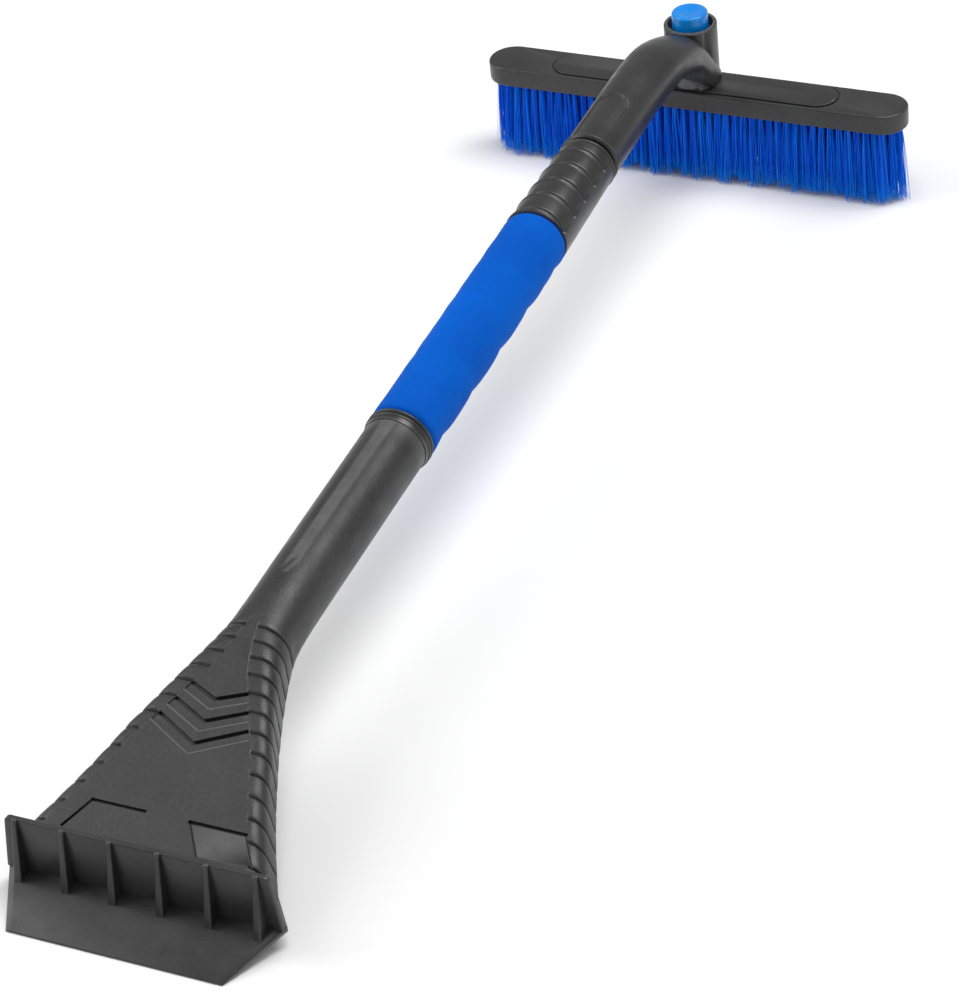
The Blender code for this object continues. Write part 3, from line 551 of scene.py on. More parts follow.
def flare_half_width(y):
    run = max(0.0, FLARE_Y - y)
    return TUBE_RADIUS + FLARE_GROWTH * (run / FLARE_RUN) ** FLARE_POWER


def fan_draft(y):
    share = (DRAFT_Y - y) / (DRAFT_Y - WALL_Y)
    return DRAFT * min(1.0, max(0.0, share))


def fan_top(y):
    tube_top = handle_height(y) + TUBE_RADIUS
    slope_top = TOP_AT_BEND + (y - FAN_BEND_Y) * TOP_SLOPE
    blend = math.exp(-tube_top / TOP_SOFTNESS) + math.exp(-slope_top / TOP_SOFTNESS)
    return -TOP_SOFTNESS * math.log(blend)


def underside_slope():
    rise = handle_height(FAN_BEND_Y) - TUBE_RADIUS - BLADE_ROOT_Z
    return rise / (FAN_BEND_Y - WALL_Y)


def fan_bottom(y):
    tube_bottom = handle_height(y) - TUBE_RADIUS
    return min(tube_bottom, BLADE_ROOT_Z + (y - WALL_Y) * underside_slope())


def underside_frame(y):
    """On the fan's sloping underside: local +Z points up, square to the underside."""
    return move(0.0, y, fan_bottom(y)) @ tilt(math.atan(underside_slope()))


def rounded_outline(half_width, half_height, corner):
    """Points and outward directions round a rounded rectangle, dense on its top."""
    across = half_width - corner
    upright = half_height - corner
    centres = np.array(((across, upright), (-across, upright), (-across, -upright), (across, -upright)))
    points = []
    directions = []
    for number, count in enumerate(FLAT_POINTS):
        angles = np.radians(np.linspace(90.0 * number, 90.0 * number + 90.0, 13))
        turns = np.column_stack((np.cos(angles), np.sin(angles)))
        curve = centres[number] + corner * turns
        to_next = centres[(number + 1) % 4] - centres[number]
        shares = np.linspace(0.0, 1.0, count + 2)[1:-1]
        points += [*curve, *(curve[-1] + to_next * share for share in shares)]
        directions += [*turns, *(turns[-1] for _ in shares)]
    return np.array(points), np.array(directions)


def band_width(y):
    """The notched band is wider beside the handle and narrower beside the wall."""
    return float(np.interp(y, BAND_STATIONS, BAND_WIDTHS))


def notch_relief(y, edge_distance, facing_up):
    """Depth of the grip bands: soft pillows with a sharp notch between each two."""
    beyond = FIRST_NOTCH_Y - y
    root = math.sqrt(max(0.0, NOTCH_PITCH**2 + 4.0 * PITCH_GROWTH * beyond))
    number = (root - NOTCH_PITCH) / (2.0 * PITCH_GROWTH)
    nearest = round(number)
    away = (number - nearest) * root
    notch = NOTCH_DEPTH * bell(away, NOTCH_WIDTH) if 0 <= nearest < NOTCH_COUNT else 0.0
    within = smooth_step(-0.9, 0.0, number) * smooth_step(NOTCH_COUNT - 0.1, NOTCH_COUNT - 0.5, number)
    pillow = PILLOW_DEPTH * within * math.cos(math.pi * (number - nearest)) ** 4
    inner = band_width(y)
    in_band = smooth_step(inner + BAND_BLEND, inner - BAND_BLEND, edge_distance)
    shown = in_band * smooth_step(-0.55, -0.10, facing_up)
    rim = BAND_RIM_DEPTH * within * bell(edge_distance - inner, BAND_RIM_WIDTH)
    return (notch + pillow) * shown + rim * smooth_step(0.5, 0.9, facing_up)


def top_frame(y):
    """On the fan's flat top: local +Y climbs to the handle, local +Z is square to the top."""
    return move(0.0, y, fan_top(y)) @ tilt(math.atan(TOP_SLOPE))


def on_top(outline, low, high):
    """A solid over an outline, given as seen from above, that follows the fan's flat top."""
    origin_y = outline[0][1]
    stretch_y = math.hypot(1.0, TOP_SLOPE)
    flat = [(x, (y - origin_y) * stretch_y) for x, y in outline]
    return prism("mark", flat, low, high, top_frame(origin_y))


def sink(head, outline, depth):
    cut(head, on_top(outline, -depth, 3.0 * MM))


def raise_bead(head, outline):
    join(head, on_top(outline, -1.0 * MM, BEAD_RISE))


def line_outline(start, end, width=LINE_WIDTH):
    """A straight line of some width, with square ends half a width beyond its points."""
    start = Vector(start)
    end = Vector(end)
    along = (end - start).normalized() * width / 2.0
    side = Vector((-along.y, along.x))
    corners = (start - along - side, end + along - side, end + along + side, start - along + side)
    return [(corner.x, corner.y) for corner in corners]


def chevron_outline(number, near, far):
    """A V that points at the blade, between two distances from its handle side."""
    slope = 0.414 + 0.04 * number
    reach = (14.0 + 4.0 * number) * MM
    apex = CHEVRON_APEX_Y - CHEVRON_PITCH * number
    lean = math.atan(slope)
    outline = []
    for side, distance in ((1.0, near), (0.0, near), (-1.0, near), (-1.0, far), (0.0, far), (1.0, far)):
        if side == 0.0:
            outline.append((0.0, apex - distance / math.cos(lean)))
        else:
            x = reach + math.sin(lean) * distance
            outline.append((side * x, apex + slope * reach - math.cos(lean) * distance))
    return outline


def sink_marks(head):
    """Chevrons and corner marks: a shallow recess with a deep line on its handle side."""
    for number in range(CHEVRON_COUNT):
        sink(head, chevron_outline(number, 0.0, CHEVRON_WIDTH), CHEVRON_DEPTH)
        sink(head, chevron_outline(number, -MARK_STEP, LINE_WIDTH), LINE_DEPTH)
        bead_start = CHEVRON_WIDTH + MARK_STEP
        raise_bead(head, chevron_outline(number, bead_start, bead_start + BEAD_WIDTH))
    start, bend, end = OPEN_MARK
    sink(head, line_outline(start, bend), LINE_DEPTH)
    sink(head, line_outline(bend, end), LINE_DEPTH)
    left, right = CLOSED_MARK_X
    left_foot, right_foot = (x + CLOSED_MARK_LEAN for x in CLOSED_MARK_X)
    corners = [(left, MARK_Y), (right, MARK_Y), (right_foot, MARK_FOOT_Y), (left_foot, MARK_FOOT_Y)]
    sink(head, corners, MARK_DEPTH)
    sink(head, line_outline((left - MARK_STEP, MARK_Y), (right + MARK_STEP, MARK_Y)), LINE_DEPTH)
    for top, foot in ((left, left_foot), (right, right_foot)):
        side_line = line_outline((top, MARK_Y - MARK_STEP), (foot, MARK_FOOT_Y), 0.6 * LINE_WIDTH)
        sink(head, side_line, 0.7 * LINE_DEPTH)


def fan_section(y, share):
    half_height = (fan_top(y) - fan_bottom(y)) / 2.0
    centre = (fan_top(y) + fan_bottom(y)) / 2.0
    ease = smooth_step(0.05, 0.50, share)
    corner = half_height * 0.9999 * (1.0 - ease) + CORNER_RADIUS * ease
    half_width = max(flare_half_width(y), half_height)
    outline, directions = rounded_outline(half_width, half_height, corner)
    height_share = (outline[:, 1] + half_height) / (2.0 * half_height)
    narrowing = 1.0 - fan_draft(y) * height_share / half_width
    x = outline[:, 0] * narrowing
    z = outline[:, 1]
    facing_up = directions[:, 1]
    edge_distance = (half_width - fan_draft(y)) - np.abs(x)
    depth = notch_relief(y, edge_distance, facing_up)
    x = x - directions[:, 0] * depth
    z = z - directions[:, 1] * depth
    lean = HANDLE_TILT * (1.0 - share)
    return [Vector((px, y - pz * math.sin(lean), centre + pz)) for px, pz in zip(x, z)]


def make_scraper_head():
    first = handle_point(FAN_START).y
    last = WALL_Y + GAP
    sections = []
    tube_outline, _ = rounded_outline(TUBE_RADIUS, TUBE_RADIUS, TUBE_RADIUS * 0.9999)
    for distance in np.linspace(HEAD_START, FAN_START, 15)[:-1]:
        place = handle_frame(distance)
        sections.append([place @ Vector((x, z, 0.0)) for x, z in tube_outline])
    coarse = np.arange(first, FIRST_NOTCH_Y + 6.0 * MM, -1.2 * MM)
    fine = np.arange(coarse[-1] - 0.45 * MM, last, -0.45 * MM)
    for y in [*coarse, *fine, last]:
        sections.append(fan_section(y, (y - first) / (last - first)))
    head = skin("scraper_fan", sections)
    bore_length = CORE_END + 2.0 * MM - HEAD_START
    bore = cylinder("bore", CORE_RADIUS + GAP, -5.0 * MM, bore_length, handle_frame(HEAD_START))
    pocket = prism("pocket", cover_outline(0.0), -3.0 * MM, COVER_THICKNESS + 2.0 * GAP,
                   underside_frame(COVER_FRONT_Y))
    cut(head, bore, pocket)
    sink_marks(head)
    for place in blade_screw_places() + cover_screw_places():
        cut(head, cylinder("hole", 1.8 * MM, -2.0 * MM, 12.0 * MM, place, 24))
    seat_radius = TUBE_SCREW.head_radius + GAP
    place = tube_screw_place(LOWER_SCREW_AT, TUBE_RADIUS)
    cut(head, cylinder("sink", seat_radius, OUTSIDE, TUBE_SINK_DEPTH, place, 32))
    shade(head)
    stand_for(head, "handle", "black_plastic", "scraper_head", material=GRAINED_PLASTIC)


# ---------------- back cover and screws
Screw = namedtuple("Screw", "head_radius head_height shank_radius length")
COVER_SCREW = Screw(2.8 * MM, 1.4 * MM, 1.5 * MM, 9.0 * MM)
BLADE_SCREW = Screw(3.4 * MM, 1.8 * MM, 1.7 * MM, 11.0 * MM)
TUBE_SCREW = Screw(3.4 * MM, 1.7 * MM, 1.7 * MM, 6.8 * MM)
OUTSIDE = -4.0 * MM               # where the cut for a screw starts, out from the skin
COVER_BACK_Y = -532.0 * MM
COVER_FRONT_Y = -620.0 * MM
COVER_MARGIN = 8.5 * MM           # from the fan's edge to the cover's
COVER_THICKNESS = 2.5 * MM
BLADE_THICKNESS = 3.4 * MM
BLADE_SCREW_X = 40.0 * MM
BLADE_SCREW_Y = -640.5 * MM
TUBE_SINK_DEPTH = 2.3 * MM
LOWER_SCREW_AT = 430.0 * MM       # along the handle axis
UPPER_SCREW_AT = 190.5 * MM


def cover_outline(inset):
    run = (COVER_BACK_Y - COVER_FRONT_Y) / math.cos(math.atan(underside_slope()))
    front = flare_half_width(COVER_FRONT_Y) - COVER_MARGIN - inset
    back = flare_half_width(COVER_BACK_Y) - 8.0 * MM - inset
    return [(-front, inset), (front, inset), (back, run - inset), (-back, run - inset)]


def cover_screw_places():
    rows = ((-548.0 * MM, 0.35), (-612.0 * MM, 0.72))     # Y, share of the half width there
    return [underside_frame(y) @ move(side * share * (flare_half_width(y) - COVER_MARGIN))
            for y, share in rows for side in (-1.0, 1.0)]


def blade_screw_places():
    return [underside_frame(BLADE_SCREW_Y) @ move(x) for x in (-BLADE_SCREW_X, 0.0, BLADE_SCREW_X)]


def tube_screw_place(distance, radius):
    """Under the handle: local +Z points up at the axis and starts on the skin."""
    return handle_frame(distance) @ tilt(math.radians(-90.0)) @ move(z=-radius)


def drill(piece, screw, depth, sink_depth, place):
    """Cut the hole for a screw's shank, and then the seat of its head."""
    for radius, end in ((screw.shank_radius, depth), (screw.head_radius, sink_depth)):
        cut(piece, cylinder("hole", radius + GAP, OUTSIDE, end, place, 32))


def make_back_cover():
    """A flush cover with softened edges, a sunk panel and countersunk screw holes."""
    place = underside_frame(COVER_FRONT_Y)
    cover = prism("cover_plate", cover_outline(GAP), 0.0, COVER_THICKNESS, place)
    panel = prism("panel", cover_outline(7.0 * MM), -1.0 * MM, 0.5 * MM, place)
    cut(cover, soften(panel, 1.5 * MM, 4, 50.0))
    soften(cover, 0.4 * MM, 2)
    for spot in cover_screw_places():
        drill(cover, COVER_SCREW, 5.0 * MM, 1.7 * MM, spot)
    shade(cover)
    stand_for(cover, "handle", "black_plastic", "back_cover", material=GRAINED_PLASTIC)


def make_screw(name, place, screw_size, node):
    """A domed head with a cross recess, and a shank; the head is at the bottom."""
    head_radius, head_height, shank_radius, length = screw_size
    dome = arc((0.0, 0.0), 1.0, -90.0, 0.0, 9)
    profile = [(head_radius * x, head_height * (1.0 + y)) for x, y in dome]
    profile += [
        (head_radius, head_height),
        (shank_radius, head_height),
        (shank_radius, head_height + length),
        (0.0, head_height + length),
    ]
    screw = turned(name, profile, steps=32)
    arm = head_radius * 0.55
    slot_half = head_radius * 0.11
    depth = head_height * 0.6
    cross = block("cross", (-arm, -slot_half, -0.5 * MM), (arm, slot_half, depth))
    join(cross, block("cross_bar", (-slot_half, -arm, -0.5 * MM), (slot_half, arm, depth)))
    cut(screw, cross)
    screw.data.transform(place)
    shade(screw)
    stand_for(screw, "handle", "steel", node)


def make_screws():
    for number, spot in enumerate(cover_screw_places(), start=1):
        place = spot @ move(z=GAP / 2.0)
        make_screw(f"cover_screw_detail_{number}", place, COVER_SCREW, f"cover_screw_{number}")
    for label, spot in zip(("left", "middle", "right"), blade_screw_places()):
        place = spot @ move(z=-BLADE_THICKNESS - 0.7 * MM)
        make_screw(f"blade_screw_detail_{label}", place, BLADE_SCREW, f"blade_screw_{label}")
    spots = (
        ("upper", tube_screw_place(UPPER_SCREW_AT, collar_radius(UPPER_SCREW_AT))),
        ("lower", tube_screw_place(LOWER_SCREW_AT, TUBE_RADIUS)),
    )
    for label, spot in spots:
        make_screw(f"tube_screw_detail_{label}", spot @ move(z=GAP), TUBE_SCREW, f"tube_screw_{label}")


# ---------------- ice blade
BLADE_ROOT_HALF_WIDTH = 68.2 * MM
EDGE_Y = -682.3 * MM
EDGE_HALF_WIDTH = 52.7 * MM
EDGE_THICKNESS = 0.8 * MM
TONGUE_END_Y = -630.0 * MM
SHOULDER_WIDTH = 2.8 * MM
FIN_COUNT = 6
FIN_PITCH = 23.4 * MM
FIN_TIP_THICKNESS = 2.5 * MM
FIN_FOOT_THICKNESS = 4.0 * MM


def blade_section(y, half_width, top, thickness):
    """A flat section with sloping shoulders along both sides."""
    inner = half_width - SHOULDER_WIDTH
    corners = ((-half_width, -1.0), (half_width, -1.0), (half_width, -0.35), (inner, 0.0),
               (-inner, 0.0), (-half_width, -0.35))
    return [Vector((x, y, top + low * thickness)) for x, low in corners]


def make_wall():
    """The upright ridge wall, a little wider at its foot, with rounded top corners."""
    corner = 2.4 * MM
    top = WALL_TOP - corner
    reach = WALL_HALF_WIDTH - corner
    foot = BLADE_ROOT_Z - 2.0 * MM
    outline = [(-WALL_FOOT_HALF_WIDTH, foot), (WALL_FOOT_HALF_WIDTH, foot)]
    outline += arc((reach, top), corner, 8.0, 90.0, 7)
    outline += arc((-reach, top), corner, 90.0, 172.0, 7)
    wall = prism("wall", outline, -WALL_Y, WALL_THICKNESS - WALL_Y, tilt(math.radians(90.0)))
    return soften(wall, 0.7 * MM, 4, 50.0)


def make_fin(x):
    """A gusset with a rounded tip that stands a little above the wall."""
    front = WALL_Y - WALL_THICKNESS
    slope = BLADE_ROOT_Z / (EDGE_Y - WALL_Y)
    foot_y = front - 7.2 * MM
    foot_z = BLADE_ROOT_Z - (foot_y - WALL_Y) * slope
    tip = arc((front - 0.2 * MM, WALL_TOP - 0.7 * MM), 1.35 * MM, 70.0, 190.0, 7)
    outline = [*tip, (foot_y, foot_z - 0.8 * MM), (front + 1.0 * MM, foot_z - 0.8 * MM),
               (front + 1.0 * MM, WALL_TOP - 0.8 * MM)]
    sides = []
    for side in (-0.5, 0.5):
        loop = []
        for y, z in outline:
            drop = min(1.0, max(0.0, (WALL_TOP - z) / (WALL_TOP - foot_z)))
            thickness = FIN_TIP_THICKNESS + (FIN_FOOT_THICKNESS - FIN_TIP_THICKNESS) * drop
            loop.append(Vector((x + side * thickness, y, z)))
        sides.append(loop)
    return soften(skin("fin", sides), 0.6 * MM, 3, 60.0)


def make_ice_blade():
    tongue_half_width = flare_half_width(TONGUE_END_Y) - 4.0 * MM
    slab = [
        blade_section(TONGUE_END_Y, tongue_half_width, fan_bottom(TONGUE_END_Y) - GAP, BLADE_THICKNESS),
        blade_section(WALL_Y, BLADE_ROOT_HALF_WIDTH, BLADE_ROOT_Z - GAP, BLADE_THICKNESS),
        blade_section(EDGE_Y, EDGE_HALF_WIDTH, EDGE_THICKNESS, EDGE_THICKNESS),
    ]
    blade = soften(skin("scraping_blade", slab), 0.35 * MM, 3, 30.0)
    join(blade, make_wall())
    for number in range(FIN_COUNT):
        join(blade, make_fin((number - (FIN_COUNT - 1) / 2.0) * FIN_PITCH))
    for place in blade_screw_places():
        drill(blade, BLADE_SCREW, 6.0 * MM, 1.4 * MM, place @ move(z=-BLADE_THICKNESS))
    shade(blade)
    stand_for(blade, "handle", "black_plastic", "ice_blade")


# ---------------- grip
FINGER_COUNT = 5
FINGER_FIRST = 228.5 * MM         # along the handle axis
FINGER_PITCH = 34.2 * MM
FINGER_HALF_WIDTH = 5.5 * MM
FINGER_DEPTH = 1.0 * MM
RIPPLE_DEPTH = 0.07 * MM          # faint unevenness all over the foam


def make_foam_grip():
    """A soft sleeve with finger waves along its underside and rolled-in ends."""
    shape = random.Random(4)
    phases = [shape.uniform(0.0, 2.0 * math.pi) for _ in range(2)]

    def dent(angle, height):
        under = smooth_step(0.1, -0.6, math.cos(angle))
        share = (height - GRIP_START) / (GRIP_END - GRIP_START)
        number = min(FINGER_COUNT - 1, max(0, round((height - FINGER_FIRST) / FINGER_PITCH)))
        wave = bell(height - FINGER_FIRST - number * FINGER_PITCH, FINGER_HALF_WIDTH)
        ends = smooth_step(0.0, 0.04, share) * smooth_step(1.0, 0.96, share)
        ripple = math.sin(3.0 * angle + 40.0 * share + phases[0])
        ripple += math.sin(5.0 * angle - 63.0 * share + phases[1])
        return (FINGER_DEPTH * under * wave + RIPPLE_DEPTH * (ripple + 2.0)) * ends

    rolled = 3.8 * MM
    inner = CORE_RADIUS + GAP
    near = FOAM_RADIUS - rolled
    run = np.linspace(GRIP_START + rolled, GRIP_END - rolled, 151)
    profile = [(inner, GRIP_START), (near - 1.5 * MM, GRIP_START)]
    profile += arc((near, GRIP_START + rolled), rolled, -90.0, 0.0, 9)
    profile += [(FOAM_RADIUS, height) for height in run[1:-1]]
    profile += arc((near, GRIP_END - rolled), rolled, 0.0, 90.0, 9)
    profile += [(inner, GRIP_END)]
    grip = turned("foam_sleeve", profile, handle_frame(), 128, dent, 60.0)
    stand_for(grip, "handle", "blue_foam", "foam_grip")


def make_grip_end_ring():
    """Two rounded beads with a groove between them, then a plain shoulder."""
    bead = 0.85 * MM
    groove = RING_RADIUS - 1.1 * MM
    inner = CORE_RADIUS + GAP
    profile = [(inner, RING_START)]
    profile += arc((RING_RADIUS - bead, RING_START + bead), bead, -90.0, 70.0, 9)
    profile += [(groove, RING_START + 2.1 * MM), (groove, RING_START + 2.6 * MM)]
    profile += arc((RING_RADIUS - bead - 0.1 * MM, RING_START + 3.6 * MM), bead, -70.0, 70.0, 9)
    profile += [(RING_RADIUS - 1.0 * MM, RING_END), (inner, RING_END)]
    ring = turned("end_ring_beads", profile, handle_frame(), 128)
    stand_for(ring, "handle", "black_plastic", "grip_end_ring")


RIB_COUNT = 5
RIB_FIRST = 8.7 * MM
RIB_PITCH = 14.0 * MM
PAD_HALF_ANGLE = math.radians(72.0)
PAD_CURL = 3.4 * MM               # how far each step trails back at its ends
PAD_SLOPE = 0.95 * MM             # how far each pad sinks towards the next step
STEP_GROOVE = 1.3 * MM
STEP_LIP = 0.5 * MM


def collar_radius(distance):
    share = (distance - COLLAR_START) / (COLLAR_END - COLLAR_START)
    return COLLAR_RADIUS + (COLLAR_END_RADIUS - COLLAR_RADIUS) * share


def make_collar():
    """A sleeve with overlapping thumb pads across its top, divided by sharp steps."""

    def dent(angle, height):
        turn = abs((angle + math.pi) % (2.0 * math.pi) - math.pi)
        curl = PAD_CURL * (turn / PAD_HALF_ANGLE) ** 2
        number = (height - COLLAR_START - RIB_FIRST - curl) / RIB_PITCH
        share = number - math.floor(number)
        slope = PAD_SLOPE * share**2 * smooth_step(1.0, 0.985, share)
        step = min(RIB_COUNT - 1, max(0, round(number)))
        past_step = (number - step) * RIB_PITCH
        groove = STEP_GROOVE * bell(past_step + 0.5 * MM, 0.8 * MM)
        lip = STEP_LIP * bell(past_step - 1.2 * MM, 0.7 * MM)
        inside = 1.0 if -1.0 < number < RIB_COUNT - 1.0 else 0.0
        on_pad = smooth_step(0.04, -0.04, turn - PAD_HALF_ANGLE)
        return (slope * inside + groove - lip) * on_pad

    inner = CORE_RADIUS + GAP
    bead = 1.1 * MM
    profile = [(inner, COLLAR_START)]
    profile += arc((COLLAR_RADIUS + 0.5 * MM - bead, COLLAR_START + bead), bead, -90.0, 60.0, 9)
    run = np.linspace(COLLAR_START + 2.4 * MM, COLLAR_END, 211)
    profile += [(collar_radius(height), height) for height in run]
    profile += [(inner, COLLAR_END)]
    collar = turned("thumb_collar", profile, handle_frame(), 180, dent)
    spot = tube_screw_place(UPPER_SCREW_AT, collar_radius(UPPER_SCREW_AT))
    drill(collar, TUBE_SCREW, 9.5 * MM, TUBE_SINK_DEPTH, spot)
    shade(collar)
    stand_for(collar, "handle", "black_plastic", "ribbed_collar")


# ---------------- swan neck
ARM_RADIUS = 15.4 * MM
SPIGOT_LENGTH = 29.5 * MM
POST_RADIUS = 14.7 * MM
POST_TOP = 93.2 * MM
CUP_RADIUS = 12.6 * MM
POST_FLOOR_BOTTOM = 69.2 * MM
POST_FLOOR_TOP = 72.0 * MM
JOURNAL_RADIUS = 6.7 * MM
NECK_BEND_START = 62.0 * MM
NECK_BENDS = ((75.0 * MM, math.radians(27.8)), (35.0 * MM, math.radians(25.0)))
NECK_LAST_RUN = 27.5 * MM
NECK_THIN_START = 58.0 * MM
NECK_THIN_END = 120.0 * MM
NECK_END_HALF_HEIGHT = 9.5 * MM
HOOD_RADIUS = 15.6 * MM
WINDOW_BACK_Y = -1.7 * MM
WINDOW_SLOPE = math.radians(30.0)
WINDOW_HALF_WIDTH = 10.7 * MM
WINDOW_HALF_HEIGHT = 14.0 * MM
SKIRT_FULLNESS = 0.62             # squarer lower half where the neck hoods the hub
PANEL_RUN = 41.5 * MM             # sunk panel on top of the neck, from the joint
PANEL_HALF_WIDTH = 9.0 * MM
PANEL_SINK = 0.9 * MM
NECK_LIP_RISE = 0.5 * MM          # collar-side lip of the neck
NECK_LIP_ROUNDING = 0.7 * MM


def neck_point(run):
    """Centre and lean of the neck, by the distance along it from the joint."""
    straight = ARM_END - NECK_BEND_START
    centre = handle_point(ARM_END - min(run, straight))
    lean = HANDLE_TILT
    left = run - straight
    for radius, angle in NECK_BENDS:
        turned_by = min(angle, max(0.0, left / radius))
        after = lean - turned_by
        ahead = radius * (math.sin(lean) - math.sin(after))
        rise = radius * (math.cos(after) - math.cos(lean))
        centre = centre + Vector((0.0, ahead, rise))
        lean = after
        left -= radius * angle
    ahead = Vector((0.0, math.cos(lean), math.sin(lean)))
    return centre + ahead * max(0.0, left), lean


def neck_length():
    bends = sum(radius * angle for radius, angle in NECK_BENDS)
    return ARM_END - NECK_BEND_START + bends + NECK_LAST_RUN


def neck_section(run, count=96):
    centre, lean = neck_point(run)
    ease = smooth_step(NECK_THIN_START, NECK_THIN_END, run)
    half_height = ARM_RADIUS + (NECK_END_HALF_HEIGHT - ARM_RADIUS) * ease
    half_width = ARM_RADIUS + (HOOD_RADIUS - ARM_RADIUS) * ease
    half_width = min(half_width, math.sqrt(HOOD_RADIUS**2 - max(0.0, centre.y) ** 2))
    rounding = NECK_LIP_ROUNDING * smooth_step(1.2 * MM, 0.0, run) ** 2
    lip = rounding - NECK_LIP_RISE * bell(run - 1.3 * MM, 0.8 * MM)
    up = Vector((0.0, -math.sin(lean), math.cos(lean)))
    fullness = 1.0 - SKIRT_FULLNESS * ease
    loop = []
    for step in range(count):
        angle = 2.0 * math.pi * step / count
        across = math.cos(angle)
        up_share = math.sin(angle)
        if up_share < 0.0:
            across = math.copysign(abs(across) ** fullness, across)
            up_share = -abs(up_share) ** fullness
        x = (half_width - lip) * across
        rise = (half_height - lip) * up_share
        if rise > 0.0:
            corner = max(0.0, run - (PANEL_RUN - PANEL_HALF_WIDTH))
            from_middle = math.hypot(x, corner) if corner > 0.0 else abs(x)
            inside = smooth_step(-0.3 * MM, 0.3 * MM, PANEL_HALF_WIDTH - from_middle)
            rise -= PANEL_SINK * inside * smooth_step(1.6 * MM, 2.4 * MM, run)
        loop.append(centre + Vector((x, 0.0, 0.0)) + up * rise)
    return loop


def window_place(foot):
    """Local Z rises forwards through the opening; its crown starts at the plate."""
    start = move(0.0, WINDOW_BACK_Y, foot) @ tilt(math.radians(90.0) - WINDOW_SLOPE)
    oval = Matrix.Diagonal((1.0, WINDOW_HALF_HEIGHT / WINDOW_HALF_WIDTH, 1.0, 1.0))
    return start @ move(y=-WINDOW_HALF_HEIGHT) @ oval


def make_neck():
    runs = list(np.arange(0.0, 2.4 * MM, 0.3 * MM)) + list(np.arange(2.4 * MM, neck_length(), 0.6 * MM))
    neck = skin("swan_neck", [neck_section(run) for run in [*runs, neck_length()]])
    foot = PLATE_TOP + PANEL_RISE + GAP
    cut(neck, block("below_foot", (-30.0 * MM, -30.0 * MM, 20.0 * MM), (30.0 * MM, 30.0 * MM, foot)))
    rim = 0.8 * MM
    profile = [(0.0, foot), (POST_RADIUS, foot)]
    profile += arc((POST_RADIUS - rim, POST_TOP - rim), rim, 0.0, 90.0, 5)
    profile += [(0.0, POST_TOP)]
    post = turned("post", profile, steps=96)
    spigot = cylinder("spigot", CORE_RADIUS, ARM_END - 4.0 * MM, ARM_END + SPIGOT_LENGTH,
                      handle_frame())
    join(neck, post, spigot)
    hub_bore = cylinder("hub_bore", CUP_RADIUS, 40.0 * MM, POST_FLOOR_BOTTOM, None, 96)
    cup_bore = cylinder("cup_bore", CUP_RADIUS, POST_FLOOR_TOP, 120.0 * MM, None, 96)
    journal = cylinder("journal_bore", JOURNAL_RADIUS + GAP, 60.0 * MM, 80.0 * MM)
    window = cylinder("window", WINDOW_HALF_WIDTH, -20.0 * MM, 40.0 * MM, window_place(foot), 128)
    cut(neck, hub_bore, cup_bore, journal, window)
    shade(neck)
    stand_for(neck, "arm", "black_plastic", "neck_arm")


# ---------------- button
BUTTON_RADIUS = 10.05 * MM


def make_button():
    """A dished cap with a soft shoulder over its retaining flange."""
    low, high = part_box("release_button")
    flange = half_size("release_button").x
    top = high[2]
    edge = 1.7 * MM
    profile = [(0.0, low[2]), (flange, low[2]), (flange, low[2] + 1.5 * MM),
               (BUTTON_RADIUS, low[2] + 1.5 * MM)]
    profile += arc((BUTTON_RADIUS - edge, top - edge), edge, 0.0, 90.0, 10)
    dish = BUTTON_RADIUS - edge - 0.4 * MM
    for share in np.linspace(1.0, 0.0, 14):
        profile.append((dish * share, top - 1.5 * MM * math.cos(share * math.pi / 2.0) ** 2))
    button = turned("dished_button", profile, steps=96)
    stand_for(button, "button", "blue_button", "release_button")


SPRING_TURNS = 3.0
SPRING_WIRE = 0.35 * MM           # radius of the wire


def make_button_spring():
    """A coil with closed ends, which rides on the button."""
    low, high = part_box("button_spring")
    height = high[2] - low[2]
    radius = half_size("button_spring").x - SPRING_WIRE
    end_rise = 2.1 * SPRING_WIRE
    turns = (0.0, 1.0, SPRING_TURNS - 1.0, SPRING_TURNS)
    rises = (SPRING_WIRE, SPRING_WIRE + end_rise, height - SPRING_WIRE - end_rise, height - SPRING_WIRE)
    sections = []
    for turn in np.linspace(0.0, SPRING_TURNS, 97):
        angle = 2.0 * math.pi * turn
        away = Vector((math.cos(angle), math.sin(angle), 0.0))
        centre = away * radius + Vector((0.0, 0.0, low[2] + float(np.interp(turn, turns, rises))))
        sections.append([centre + away * x + Vector((0.0, 0.0, z)) for x, z in circle(SPRING_WIRE, 10)])
    spring = skin("return_spring", sections, 60.0)
    stand_for(spring, "button", "steel", "button_spring")
    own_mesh(spring)


# ---------------- brush head
PLATE_WALL = 2.8 * MM
PANEL_LENGTH = 168.0 * MM
PANEL_WIDTH = 23.0 * MM
MOAT = 1.0 * MM                   # groove round the raised panel
HUB_SCREW_X = 7.8 * MM


